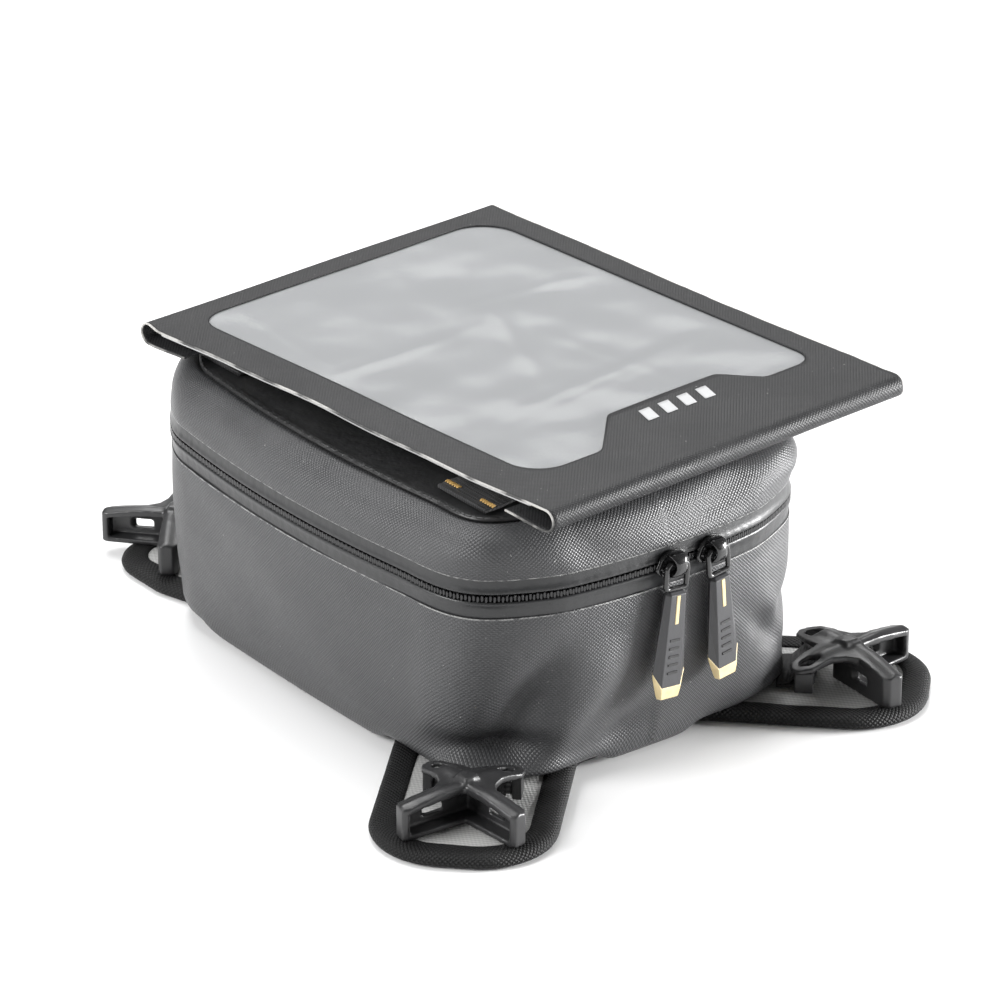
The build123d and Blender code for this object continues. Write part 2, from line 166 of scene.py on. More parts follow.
# The pad: a foam sheet faced with grey twill above and embossed rubber below, with an ear at
# each hook. A folded braid is sewn round its whole edge.
MM = 0.001
PAD_CORNERS = ((24.0, -86.0, 8), (73.6, -135.6, 24), (114.6, -94.6, 24), (54.0, -34.0, 10),
               (54.0, 74.0, 10), (59.0, 92.0, 12), (59.0, 125.0, 18), (8.0, 125.0, 10), (8.0, 105.0, 6))


def run_along(path):
    """Distance along a path of points, from 0 at its first."""
    return np.concatenate([[0], np.cumsum(np.hypot(*np.diff(path, axis=0).T))])


def rounded_path(corners, step):
    """Evenly spaced points round a closed polygon whose corners are arcs: each corner's arc starts and
    ends where a circle of its radius touches the two sides."""
    spots = np.array([(x, y) for x, y, r in corners], float)
    pieces = []
    for k, (x, y, r) in enumerate(corners):
        here = spots[k]
        into = here - spots[k - 1]
        out = spots[(k + 1) % len(spots)] - here
        into, out = into / np.hypot(*into), out / np.hypot(*out)
        turn = math.atan2(into[0] * out[1] - into[1] * out[0], into @ out)
        start = here - into * r * math.tan(abs(turn) / 2)
        side = math.copysign(1.0, turn)
        centre = start + side * r * np.array([-into[1], into[0]])
        angle = math.atan2(*(start - centre)[::-1]) + np.linspace(0, turn, 25)
        pieces.append(centre + r * np.stack([np.cos(angle), np.sin(angle)], 1))
    dense = np.vstack(pieces + [pieces[0][:1]])
    run = run_along(dense)
    count = int(round(run[-1] / step))
    where = np.linspace(0, run[-1], count, endpoint=False)
    return np.stack([np.interp(where, run, dense[:, k]) for k in (0, 1)], 1), run[-1]


def left_of(points):
    """Unit vectors to the left of a closed path, level."""
    along = np.roll(points, -1, 0) - np.roll(points, 1, 0)
    along /= np.hypot(*along.T)[:, None]
    return np.stack([-along[:, 1], along[:, 0]], 1)


def raised(plan, z):
    """Plan points with heights z: one for all, one for each row as z[:, None], or one for each."""
    return np.concatenate([plan, np.broadcast_to(z, plan.shape[:-1])[..., None]], -1)


def cloth_map(down, across):
    """Flat coordinates in metres of a grid whose rows lie at down and columns at across, in mm."""
    return np.stack(np.meshgrid(down, across, indexing="ij")[::-1], 2) * MM


def add(made, kind, *inputs, out=0, **settings):
    """One node's output, by number or name: inputs are linked or set in order, None leaves a
    socket alone."""
    step = made.node_tree.nodes.new("ShaderNode" + kind)
    for key, value in settings.items():
        setattr(step, key, value)
    for socket, value in zip(step.inputs, inputs):
        if value is None:
            continue
        if isinstance(value, bpy.types.NodeSocket):
            made.node_tree.links.new(value, socket)
        else:
            socket.default_value = value
    return step.outputs[out]


def plug(made, source, socket):
    """Links an output to the shader's named input."""
    made.node_tree.links.new(source, made.node_tree.nodes["Principled BSDF"].inputs[socket])


def tint(made, factor, first, second):
    """A colour between two, by factor."""
    step = made.node_tree.nodes.new("ShaderNodeMix")
    step.data_type = "RGBA"
    made.node_tree.links.new(factor, step.inputs[0])
    for socket, value in ((step.inputs[6], first), (step.inputs[7], second)):
        if isinstance(value, bpy.types.NodeSocket):
            made.node_tree.links.new(value, socket)
        else:
            socket.default_value = (*value, 1.0)
    return step.outputs[2]


def raise_surface(made, height, depth, under=None):
    """Bump of the given depth in metres, on top of an earlier bump."""
    step = made.node_tree.nodes.new("ShaderNodeBump")
    step.inputs["Distance"].default_value = depth
    made.node_tree.links.new(height, step.inputs["Height"])
    if under is not None:
        made.node_tree.links.new(under, step.inputs["Normal"])
    return step.outputs[0]


def spread(made, value, low, high, to_low=0.0, to_high=1.0):
    """Maps low..high to to_low..to_high, clamped."""
    return add(made, "MapRange", value, low, high, to_low, to_high)


def sine(made, value):
    """The sine of a number."""
    return add(made, "Math", value, operation="SINE")


def times(made, first, second):
    """The product of two numbers."""
    return add(made, "Math", first, second, operation="MULTIPLY")


def noise(made, scale, detail, place=None):
    """Cloudy noise, by default on the object's own coordinates."""
    if place is None:
        place = add(made, "TexCoord", out="Object")
    return add(made, "TexNoise", place, None, scale, detail)


def grained(made, scale, detail, depth):
    """A fine even grain, depth metres high."""
    plug(made, raise_surface(made, noise(made, scale, detail), depth), "Normal")


def pillows(made, flat, pitch_x, pitch_y):
    """A weave's grid of pillows |sin x| * |sin y|, each a pitch across in metres."""
    wave = add(made, "VectorMath", flat, (math.pi / pitch_x, math.pi / pitch_y, 0.0), operation="MULTIPLY")
    wave = add(made, "VectorMath", add(made, "VectorMath", wave, operation="SINE"), operation="ABSOLUTE")
    return times(made, add(made, "SeparateXYZ", wave), add(made, "SeparateXYZ", wave, out=1))


def on_the_bias(made, flat):
    """Flat coordinates turned by 45 degrees."""
    return add(made, "VectorRotate", flat, (0, 0, 0), (0, 0, 1), math.radians(45), rotation_type="AXIS_ANGLE")


def dress(node, made):
    """Gives a carried-over solid its finish."""
    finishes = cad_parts[node].data.materials
    finishes.clear()
    finishes.append(made)


pad_edge, pad_run = rounded_path(PAD_CORNERS + tuple((-x, y, r) for x, y, r in PAD_CORNERS[::-1]), 1.6)
pad_in = left_of(pad_edge)

twill = paint("grey_twill", (0.36, 0.36, 0.355), 0.75, Sheen_Weight=0.25, Sheen_Roughness=0.5)
place = add(twill, "TexCoord", out="Object")
cell = add(twill, "VectorMath", place, (3700.0, 3700.0, 0.0), operation="MULTIPLY")
rib, cross = (sine(twill, add(twill, "VectorMath", cell, way, operation="DOT_PRODUCT", out="Value"))
              for way in ((0.7, 1.3, 0.0), (1.3, -0.7, 0.0)))
thread = add(twill, "Math", rib, times(twill, cross, 0.35), operation="ADD")
plug(twill, raise_surface(twill, thread, 0.00006), "Normal")
mix = add(twill, "Math", thread, noise(twill, 60.0, 3.0), operation="ADD")
plug(twill, tint(twill, spread(twill, mix, -0.6, 2.0), (0.27, 0.27, 0.265), (0.45, 0.45, 0.44)), "Base Color")


def prism_faces(sides, levels):
    """The side faces of a form with this many corners at each of its levels."""
    ring = np.arange(sides)
    beside = (ring + 1) % sides
    band = np.stack([ring, beside, beside + sides, ring + sides], 1)
    return np.concatenate([band + sides * k for k in range(levels - 1)])


# the sheet's edge turns down under the binding; each level is an inset from the pad's edge and a height
TOP_LEVELS = ((8.9, 2.9), (8.4, 3.25), (8.6, 3.5), (9.2, 3.62), (9.7, 3.6))
ring_count = len(pad_edge)
rings = [raised(pad_edge + pad_in * inset, z) for inset, z in TOP_LEVELS]
faces = prism_faces(ring_count, len(rings)).tolist()
faces.append(((len(rings) - 1) * ring_count + np.arange(ring_count)).tolist())
top_mesh = bpy.data.meshes.new("pad_top_sheet")
top_mesh.from_pydata((np.vstack(rings) * MM).tolist(), [], faces)
top_mesh.materials.append(twill)
pad_top = stand("pad_top_sheet", top_mesh)
work = bmesh.new()
work.from_mesh(top_mesh)
bmesh.ops.triangulate(work, faces=[f for f in work.faces if len(f.verts) > 4])
work.to_mesh(top_mesh)
work.free()
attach(pad_top, "bag")
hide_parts("base_top_sheet")

braid = paint("black_braid", (0.012, 0.012, 0.0125), 0.6, Specular_IOR_Level=0.3)
flat = add(braid, "UVMap", uv_map="cloth")
cell = pillows(braid, on_the_bias(braid, flat), 0.00115, 0.00115)
plug(braid, raise_surface(braid, cell, 0.00028), "Normal")
plug(braid, tint(braid, spread(braid, cell, 0.1, 0.9), (0.001, 0.001, 0.0011), (0.011, 0.011, 0.0115)), "Base Color")
# the folded tape's section, as inset from the pad's edge and height
BINDING = np.array([(9.0, 3.55), (8.8, 4.0), (7.6, 4.25), (5.4, 4.5), (3.2, 4.45), (1.6, 4.0), (0.5, 3.1),
                    (0.1, 2.1), (0.5, 1.1), (1.6, 0.4), (3.2, 0.12), (6.0, 0.1), (8.8, 0.1), (9.0, 0.35),
                    (8.8, 0.6), (6.0, 0.7), (2.4, 0.75), (1.1, 2.0), (2.4, 3.3), (6.0, 3.5), (8.8, 3.45)])
tape_run = run_along(np.vstack([BINDING, BINDING[:1]]))
flow = np.linspace(0, pad_run, ring_count + 1)
waver = 1.0 + 0.025 * np.sin(flow[:-1] / 7.3) + 0.02 * np.sin(flow[:-1] / 3.1 + 1.0)
points = np.stack([raised(pad_edge + pad_in * inset, z * waver if z > 1 else z) for inset, z in BINDING]) * MM
binding = surface("pad_binding", "bag", points, cloth_map(tape_run, flow), wrap=(True, True), mats=(braid,))
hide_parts("base_binding")

rubber = paint("anti_slip_rubber", (0.03, 0.03, 0.03), 0.7)
stud = add(rubber, "TexVoronoi", add(rubber, "TexCoord", out="Object"), None, 420.0)
plug(rubber, raise_surface(rubber, spread(rubber, stud, 0.1, 0.5, 1.0, 0.0), 0.0003), "Normal")
dress("base_grip_sheet", rubber)
foam = paint("closed_cell_foam", (0.05, 0.05, 0.052), 0.95)
pore = add(foam, "TexVoronoi", add(foam, "TexCoord", out="Object"), None, 900.0)
plug(foam, raise_surface(foam, pore, 0.0001), "Normal")
dress("base_foam", foam)

# The four strap hooks: black moulded nylon, each an X with an open channel across its outer
# arms and a bar between its inner ones, held by a loop of webbing sewn into the pad.
nylon = paint("moulded_nylon", (0.022, 0.022, 0.023), 0.3, Specular_IOR_Level=0.6)
grained(nylon, 2600.0, 2.0, 0.00003)
plug(nylon, spread(nylon, noise(nylon, 140.0, 4.0), 0.35, 0.65, 0.28, 0.44), "Roughness")
webbing = paint("black_webbing", (0.016, 0.016, 0.017), 0.7, Sheen_Weight=0.08)
cell = pillows(webbing, add(webbing, "UVMap", uv_map="cloth"), 0.0016, 0.0009)
plug(webbing, raise_surface(webbing, cell, 0.0002), "Normal")
plug(webbing, tint(webbing, cell, (0.006, 0.006, 0.0065), (0.04, 0.04, 0.042)), "Base Color")

# each hook's middle in mm and the way its open end faces in degrees, then the bar that the loop goes round
HOOKS = {"front_left": (-76.0, -98.0, 225.0), "front_right": (76.0, -98.0, 315.0),
         "rear_left": (-38.0, 112.5, 180.0), "rear_right": (38.0, 112.5, 0.0)}
BAR_U, BAR_Z, BAR_R = -14.0, 8.2, 1.9
HOOK_CELL = 0.00042
LOOP_HALF = 9.8
LOOP_SECTION = np.array([(-LOOP_HALF, -0.45), (-LOOP_HALF, 0.45), (0, 0.5), (LOOP_HALF, 0.45),
                         (LOOP_HALF, -0.45), (0, -0.5)])


def remelt(source, name, voxel, rounds):
    """A moulded version of a hard-edged solid: the solid's skin is rebuilt in small even cells and each
    point then moves towards the mean of its neighbours, which rounds every edge."""
    mesh = source.data.copy()
    work = bmesh.new()
    work.from_mesh(mesh)
    bmesh.ops.remove_doubles(work, verts=work.verts, dist=1e-6)
    work.to_mesh(mesh)
    work.free()
    mesh.materials.clear()
    piece = stand(name, mesh)
    cells = piece.modifiers.new("cells", "REMESH")
    cells.mode = "VOXEL"
    cells.voxel_size = voxel
    ease = piece.modifiers.new("ease", "SMOOTH")
    ease.factor = 0.5
    ease.iterations = rounds
    bpy.context.view_layer.update()
    final = bpy.data.meshes.new_from_object(piece.evaluated_get(bpy.context.evaluated_depsgraph_get()))
    piece.modifiers.clear()
    piece.data = final
    final.polygons.foreach_set("use_smooth", np.ones(len(final.polygons), bool))
    return piece


def ridge(u, v, start, end, wide):
    """A rounded ridge exp(-(d / wide)^2), d being the distance to the line from start to end."""
    line = np.array(end) - np.array(start)
    t = np.clip(((u - start[0]) * line[0] + (v - start[1]) * line[1]) / (line @ line), 0, 1)
    return np.exp(-(np.hypot(u - start[0] - t * line[0], v - start[1] - t * line[1]) / wide) ** 2)


for label, (cx, cy, turn) in HOOKS.items():
    hook = remelt(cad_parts["hook_" + label], "moulded_hook_" + label, HOOK_CELL, 6)
    hook.data.materials.append(nylon)
    out = np.array([math.cos(math.radians(turn)), math.sin(math.radians(turn))])
    side = np.array([-out[1], out[0]])
    spots = np.zeros(len(hook.data.vertices) * 3, np.float32)
    hook.data.vertices.foreach_get("co", spots)
    spots = spots.reshape(-1, 3).astype(float)
    away = spots[:, :2] / MM - np.array([cx, cy])
    hook_u, hook_v, hook_z = away @ out, np.abs(away @ side), spots[:, 2] / MM
    # the top is ridged along each arm and falls away towards the arms' ends
    roof = (ridge(hook_u, hook_v, (1.0, 0.0), (14.5, 17.0), 2.3)
            + ridge(hook_u, hook_v, (-1.0, 0.0), (-9.0, 8.0), 2.6))
    upper = np.clip((hook_z - 12.0) / 3.5, 0, 1)
    fall = 0.055 * np.clip(np.hypot(hook_u, hook_v) - 9.0, 0, None) ** 1.35
    fall += 0.9 * np.clip((-hook_u - 8.0) / 8.0, 0, 1)
    spots[:, 2] += (1.1 * np.clip(roof, 0, 1) - fall) * upper * MM
    hook.data.vertices.foreach_set("co", spots.astype(np.float32).ravel())
    hook.data.update()
    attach(hook, "hook_" + label)
    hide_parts("hook_" + label)
    # the loop runs along the pad, up round the bar and back on itself
    angle = np.radians(np.linspace(-95, 205, 31))
    ring_u = BAR_U + (BAR_R + 1.0) * np.sin(angle)
    ring_z = BAR_Z - (BAR_R + 1.0) * np.cos(angle)
    loop_u = np.concatenate([[BAR_U - 9.0, BAR_U - 5.0], ring_u[6:], [BAR_U - 5.2, BAR_U - 9.0]])
    loop_z = np.concatenate([[5.2, 5.25], ring_z[6:], [6.75, 6.35]])
    slope = np.arctan2(np.gradient(loop_z), np.gradient(loop_u))
    grid_u = loop_u[:, None] - LOOP_SECTION[None, :, 1] * np.sin(slope)[:, None]
    grid_z = loop_z[:, None] + LOOP_SECTION[None, :, 1] * np.cos(slope)[:, None]
    plan = np.array([cx, cy]) + grid_u[..., None] * out + LOOP_SECTION[None, :, 0, None] * side
    across = np.append(LOOP_SECTION[:, 0], LOOP_SECTION[0, 0])
    uv = cloth_map(run_along(np.column_stack([loop_u, loop_z])), across)[..., ::-1]
    tab = surface("webbing_loop_" + label, "bag", raised(plan, grid_z) * MM, uv, wrap=(False, True),
                  caps=(True, True), mats=(webbing,))
    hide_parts("hook_tab_" + label)

# The bag body: coated woven fabric welded into a tub with a rolled bottom edge. Its sides bulge
# a little and its front corners are pinched in just above the edge.
CORNER_R = 29.0
RUN_X, RUN_Y = 34.0, 61.5
DRAW_OUT, DRAW_AT, DRAW_WIDE = 3.6, 61.5, 12.0
knots = np.cumsum([0, RUN_X, CORNER_R * math.pi / 2, 2 * RUN_Y, CORNER_R * math.pi / 2, 2 * RUN_X,
                   CORNER_R * math.pi / 2, 2 * RUN_Y, CORNER_R * math.pi / 2, RUN_X])
PLAN_RUN = knots[-1]
knot_x = np.array([0, RUN_X, RUN_X, RUN_X, RUN_X, -RUN_X, -RUN_X, -RUN_X, -RUN_X, 0])
knot_y = np.array([-RUN_Y, -RUN_Y, -RUN_Y, RUN_Y, RUN_Y, RUN_Y, RUN_Y, -RUN_Y, -RUN_Y, -RUN_Y])
knot_turn = np.radians([-90, -90, 0, 0, 90, 90, 180, 180, 270, 270])


def outward(s):
    """The level direction out of the bag at s."""
    turn = np.interp(np.mod(s, PLAN_RUN), knots, knot_turn)
    return np.stack([np.cos(turn), np.sin(turn)], -1)


def from_front(s):
    """s as a distance from the middle of the front, + towards +X and - the other way."""
    return np.mod(s + PLAN_RUN / 2, PLAN_RUN) - PLAN_RUN / 2


def bag_plan(s, bow, inset):
    """Points of the bag's plan outline, s mm along it from the middle of the front towards +X: a
    rectangle of middles plus a corner radius, each side then pushed out as bow * (1 - (y / half)^2),
    and the two front corners drawn out as 3.6 * exp(-((|s| - 61.5) / 12)^2)."""
    s = np.mod(s, PLAN_RUN)
    r = CORNER_R - inset
    x = np.interp(s, knots, knot_x) + r * np.cos(np.interp(s, knots, knot_turn))
    y = np.interp(s, knots, knot_y) + r * np.sin(np.interp(s, knots, knot_turn))
    hx, hy = RUN_X + r, RUN_Y + r
    even = np.stack([x * (1 + bow * (1 - (y / hy) ** 2) / hx), y * (1 + bow * (1 - (x / hx) ** 2) / hy)], -1)
    drawn = DRAW_OUT * np.exp(-((np.abs(from_front(s)) - DRAW_AT) / DRAW_WIDE) ** 2)
    return even + drawn[..., None] * outward(s)


# swellings and hollows of the cloth, each its mm out, its place along and up, its width and height
# and how far it leans: first the front left corner's folds, then the front right's, the rear's, the side's
FOLDS = ((-8.5, -57, 14.5, 14, 5.0, 0.5), (-5.0, -49, 29, 7, 18, 0.5), (2.6, -32, 25, 8, 17, 0.6),
         (1.6, -70, 36, 12, 16, 0.3), (3.4, -52, 5.5, 26, 4.2, 0), (-2.4, -14, 13, 9, 7, 0.9),
         (1.4, 58, 6.0, 20, 6.0, 0), (-1.6, 44, 30, 5, 10, -0.9), (-2.0, 58, 33, 9, 9, 0.8),
         (0.9, 49, 34, 4, 9, -0.6), (-2.0, 233, 15, 15, 7, 0.5), (-2.0, -233, 15, 15, 7, -0.5),
         (0.7, -120, 30, 30, 16, 0), (-0.5, -160, 24, 16, 16, 0))


def folds(s, z, table):
    """The sum of soft swellings out * exp(-(ds / wide)^2 - (dz / tall)^2), ds sheared by lean * dz."""
    move = 0
    for out, at, up, wide, tall, lean in table:
        ds = from_front(s - at) - lean * (z - up)
        move = move + out * np.exp(-(ds / wide) ** 2 - ((z - up) / tall) ** 2)
    return move


def slack(s, z):
    """How far the cloth stands out of (+) or sinks into (-) its even shape, in mm."""
    waves = 0.5 * np.sin(s / 23.0 + 0.6) * np.sin(z / 17.0 + s / 61.0)
    ripples = 0.28 * np.sin(s / 9.5 + 2.0 + z / 14.0) * np.sin(z / 9.0 + 0.3)
    return folds(s, z, FOLDS) + waves + ripples


# the wall's section: at each height, how far the sides bow out and how far the edge draws in
SECTION_Z = np.array([4.0, 7.5, 13.0, 22.0, 38.0, 54.0, 63.2])
SECTION_BOW = np.array([2.5, 3.0, 4.0, 5.5, 8.0, 9.0, 9.0])
SECTION_IN = np.array([1.5, 0.6, 0.2, 0.0, 0.0, 0.0, 0.0])

cloth_s = np.linspace(0, PLAN_RUN, 377)


def coated_cloth(name, low, high, rough, pitch, depth):
    """Woven cloth under a satin coat: a diagonal grid of pillows |sin x| * |sin y| at the weave's pitch,
    faint clouds and a few pale specks. Returns the finish, its flat coordinates and its colour."""
    made = paint(name, high, rough, Specular_IOR_Level=0.45)
    flat = add(made, "UVMap", uv_map="cloth")
    cell = pillows(made, on_the_bias(made, flat), pitch, pitch)
    cloud = noise(made, 45.0, 5.0)
    plug(made, raise_surface(made, cloud, 0.0006, raise_surface(made, cell, depth)), "Normal")
    shade = add(made, "Math", cell, times(made, cloud, 1.6), operation="ADD")
    colour = tint(made, spread(made, shade, 0.6, 1.75), low, high)
    colour = tint(made, spread(made, noise(made, 900.0, 1.0), 0.79, 0.82), colour, (0.32, 0.32, 0.31))
    plug(made, colour, "Base Color")
    plug(made, spread(made, cloud, 0.35, 0.65, rough - 0.05, rough + 0.07), "Roughness")
    return made, flat, colour


def weld_line(made, flat, colour, axis, at, half, gap, pale):
    """A pale broken line along the cloth where its coordinate on axis is within half of at."""
    off = add(made, "Math", add(made, "SeparateXYZ", flat, out=axis), at, operation="SUBTRACT")
    line = spread(made, add(made, "Math", off, operation="ABSOLUTE"), half * 0.6, half, 1.0, 0.0)
    broken = noise(made, gap, 3.0, flat)
    colour = tint(made, times(made, line, spread(made, broken, 0.42, 0.56, 0.1, 1.0)), colour, pale)
    plug(made, colour, "Base Color")
    return colour


WEAVE = 0.00088
TARP_LOW, TARP_HIGH = (0.040, 0.0405, 0.0425), (0.070, 0.0705, 0.073)
WELD_PALE = (0.27, 0.27, 0.265)
tarp, tarp_flat, tarp_colour = coated_cloth("coated_tarpaulin", TARP_LOW, TARP_HIGH, 0.39, WEAVE, 0.00013)
weld_line(tarp, tarp_flat, tarp_colour, 1, 0.0608, 0.00026, 420.0, WELD_PALE)


def hang(s):
    """How far the rolled bottom edge hangs below the pad's top, in mm, between the ears and tabs."""
    ds = np.abs(from_front(s))
    sides = 1 / (1 + np.exp((104 - ds) / 1.6)) * 1 / (1 + np.exp((ds - 199) / 1.6))
    front = 1 / (1 + np.exp((ds - 17) / 1.4))
    return 3.1 * np.maximum(sides, front)


BODY_TOP = 61.1
wall_z = np.concatenate([[4.0, 4.3, 5.0, 6.0, 7.2], np.arange(8.5, BODY_TOP - 0.4, 1.25),
                         [BODY_TOP - 0.3, BODY_TOP]])
wall_bow = np.interp(wall_z, SECTION_Z, SECTION_BOW)
wall_in = np.interp(wall_z, SECTION_Z, SECTION_IN)
wall_in[:5] = (4.6, 3.0, 1.9, 1.2, 0.85)


def tub(name, z, bow, inset, wall, floor_z, mats, rolled=False):
    """A welded tub: out along the floor from its middle, up the wall, over the rim and back down
    inside at the wall's thickness, then in to the middle again."""
    s = cloth_s[:-1][None, :]
    plan = bag_plan(s, bow[:, None], inset[:, None])
    edge_fade = np.clip((z - 4.0) / 3.0, 0, 1) * np.clip((64.5 - z) / 8.0, 0, 1)
    move = slack(s, z[:, None]) * edge_fade[:, None]
    out_way = outward(s)
    outer = raised(plan + move[..., None] * out_way, z[:, None])
    inner = outer[::-1].copy()
    inner[..., :2] -= wall * out_way
    inner[..., 2] = np.maximum(inner[..., 2], floor_z)
    inner[0, :, 2] -= 0.15
    if rolled:
        outer[..., 2] -= hang(s) * np.clip((9.0 - z[:, None]) / 5.0, 0, 1) ** 1.3 * (z[:, None] > 4.01)
        outer[0, :, 2] = 4.6
        outer[0, :, :2] -= 3.2 * out_way[0]
    floor_rows = outer[0][None] * np.array([0.35, 0.8, 0.95])[:, None, None]
    floor_rows[..., 2] = outer[0, 0, 2]
    inner_rows = inner[-1][None] * np.array([0.95, 0.7, 0.35])[:, None, None]
    inner_rows[..., 2] = floor_z
    rows = np.concatenate([floor_rows, outer, inner, inner_rows]) * MM
    height = np.concatenate([[-60.0, -20.0, -5.0], z, z[::-1] + 200, [150.0, 140.0, 120.0]])
    return surface(name, "bag", rows, cloth_map(height, cloth_s), wrap=(False, True), caps=(True, True),
                   mats=mats)


body = tub("bag_body", wall_z, wall_bow, wall_in, 1.0, 5.5, (tarp,), rolled=True)
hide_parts("body_shell")

lining_cloth = coated_cloth("grey_lining_cloth", (0.36, 0.365, 0.37), (0.47, 0.475, 0.48), 0.6, 0.0006,
                            0.00005)[0]
lining_z = np.concatenate([[7.5, 8.0, 9.0], np.arange(10.5, 59.0, 2.4), [59.3, 59.5]])
lining_in = np.interp(lining_z, SECTION_Z, SECTION_IN) + 2.6 + np.clip(9.0 - lining_z, 0, 2) * 1.5
lining = tub("body_lining_cloth", lining_z, np.interp(lining_z, SECTION_Z, SECTION_BOW), lining_in, 0.7,
             8.4, (lining_cloth,))
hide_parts("body_lining")

board = paint("stiffener_board", (0.06, 0.06, 0.062), 0.55)
grained(board, 1500.0, 2.0, 0.00005)
dress("base_board", board)
dress("lid_board", board)

# The zip: two smooth coated bands welded to body and lid, meeting at a row of fine moulded
# teeth. It stops short of the back, where a plain strip of the cloth is the lid's hinge.
ZIP_Z = 67.8
ZIP_HALF = 225.5
ZIP_BOW = 9.0
band_coat = paint("coated_zip_band", (0.022, 0.0225, 0.0235), 0.36)
flat = add(band_coat, "UVMap", uv_map="cloth")
ribbed = add(band_coat, "VectorMath", flat, (math.pi / 0.0019, 0.0, 0.0), operation="MULTIPLY")
ribbed = add(band_coat, "SeparateXYZ", add(band_coat, "VectorMath", ribbed, operation="SINE"))
lift = raise_surface(band_coat, ribbed, 0.000012)
plug(band_coat, raise_surface(band_coat, noise(band_coat, 300.0, 4.0), 0.0002, lift), "Normal")

band_s = np.linspace(-ZIP_HALF, ZIP_HALF, 301)
# the bands' lips stand apart over the teeth on the open side and close over them on the other
lip_gap = 0.55 + 0.62 / (1 + np.exp((band_s - 16.0) / 1.5))


def zip_band(name, body, sign):
    """Profile carried along the zip: from behind the cloth's edge, out to a rolled lip beside the
    teeth and back behind; sign is -1 for the lower band and +1 for the upper."""
    profile = np.array([(-0.75, 7.4), (-0.5, 6.9), (-0.3, 6.4), (-0.25, 5.2), (-0.2, 3.6), (0.05, 2.3),
                        (0.38, 1.4), (0.3, 0.6), (-0.1, 0.15), (-0.7, 0.0), (-1.2, 0.2), (-1.5, 1.2),
                        (-1.7, 3.5), (-1.9, 7.4)])
    plan = bag_plan(band_s, ZIP_BOW, 0.0)[None] + profile[:, 0][:, None, None] * outward(band_s)[None]
    fade = np.clip(profile[:, 1:2] / 2.0, 0, 1)
    height = ZIP_Z + sign * (lip_gap[None, :] * (1 - fade) + np.maximum(profile[:, 1:2], 0) + 0.3 * fade)
    uv = cloth_map(run_along(np.vstack([profile, profile[:1]])), band_s)
    return surface(name, body, np.swapaxes(raised(plan, height) * MM, 0, 1), np.swapaxes(uv, 0, 1),
                   wrap=(False, True), caps=(True, True), mats=(band_coat,))


for label, body_name, sign in (("lower", "bag", -1), ("upper", "lid", 1)):
    band = zip_band("zip_band_" + label, body_name, sign)
    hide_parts("zipper_tape_" + label)

teeth_coat = paint("moulded_teeth", (0.014, 0.014, 0.015), 0.22)
grained(teeth_coat, 1800.0, 2.0, 0.00004)
TOOTH_PITCH = 1.9
TOOTH_LAST = 223.0
# a tooth is six-sided, with its four levels from root to tip
tooth = np.array([(x, o, z) for z, grow in ((-0.2, 0.62), (0.2, 1.0), (1.15, 1.0), (1.6, 0.6))
                  for x, o in ((-0.48 * grow, -0.9), (-0.48 * grow, 0.1), (-0.28 * grow, 0.32),
                               (0.28 * grow, 0.32), (0.48 * grow, 0.1), (0.48 * grow, -0.9))])


def copies(name, body, cell, sides, origin, along, out_way, up, mats):
    """Many copies of a small closed form with this many sides: each point is origin + x along
    + y out + z up."""
    points = (origin[:, None] + cell[None, :, 0, None] * along[:, None]
              + cell[None, :, 1, None] * out_way[:, None] + cell[None, :, 2, None] * up[:, None])
    count, size = points.shape[:2]
    shift = (np.arange(count) * size)[:, None]
    all_faces = (prism_faces(sides, size // sides)[None] + shift[..., None]).reshape(-1, 4).tolist()
    for end in (np.arange(sides)[::-1], np.arange(size - sides, size)):
        all_faces += (end + shift).tolist()
    mesh = bpy.data.meshes.new(name)
    mesh.from_pydata((points.reshape(-1, 3) * MM).tolist(), [], all_faces)
    face_out(mesh)
    for made in mats:
        mesh.materials.append(made)
    piece = stand(name, mesh)
    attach(piece, body)
    return piece


def on_zip(name, body, cell, sides, s, z, up):
    """Copies of a small form in a row at s along the zip, z mm high; up is +1 or -1."""
    along = bag_plan(s + 0.5, ZIP_BOW, 0.0) - bag_plan(s - 0.5, ZIP_BOW, 0.0)
    along /= np.hypot(*along.T)[:, None]
    return copies(name, body, cell, sides, raised(bag_plan(s, ZIP_BOW, 0.0), z), raised(along, 0.0),
                  raised(outward(s), 0.0), np.tile([0.0, 0.0, float(up)], (len(s), 1)), (teeth_coat,))


for label, body_name, sign, shift in (("lower", "bag", -1, 0.0), ("upper", "lid", 1, TOOTH_PITCH / 2)):
    tooth_s = np.arange(-TOOTH_LAST + shift, TOOTH_LAST, TOOTH_PITCH)
    row = on_zip("zip_teeth_" + label, body_name, tooth, 6, tooth_s, ZIP_Z - sign * 0.55, sign)
    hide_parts("zipper_chain_" + label)

stop_cell = np.array([(x * g, o, z) for o, g in ((-1.2, 0.9), (0.1, 1.0), (0.55, 0.75))
                      for x, z in ((-1.0, -1.6), (1.0, -1.6), (1.25, -1.2), (1.25, 1.2), (1.0, 1.6), (-1.0, 1.6),
                                   (-1.25, 1.2), (-1.25, -1.2))])
stops = on_zip("zip_end_stops", "bag", stop_cell, 8, np.array([-226.3, 226.3]), ZIP_Z, 1)
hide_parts("zipper_end_stops")

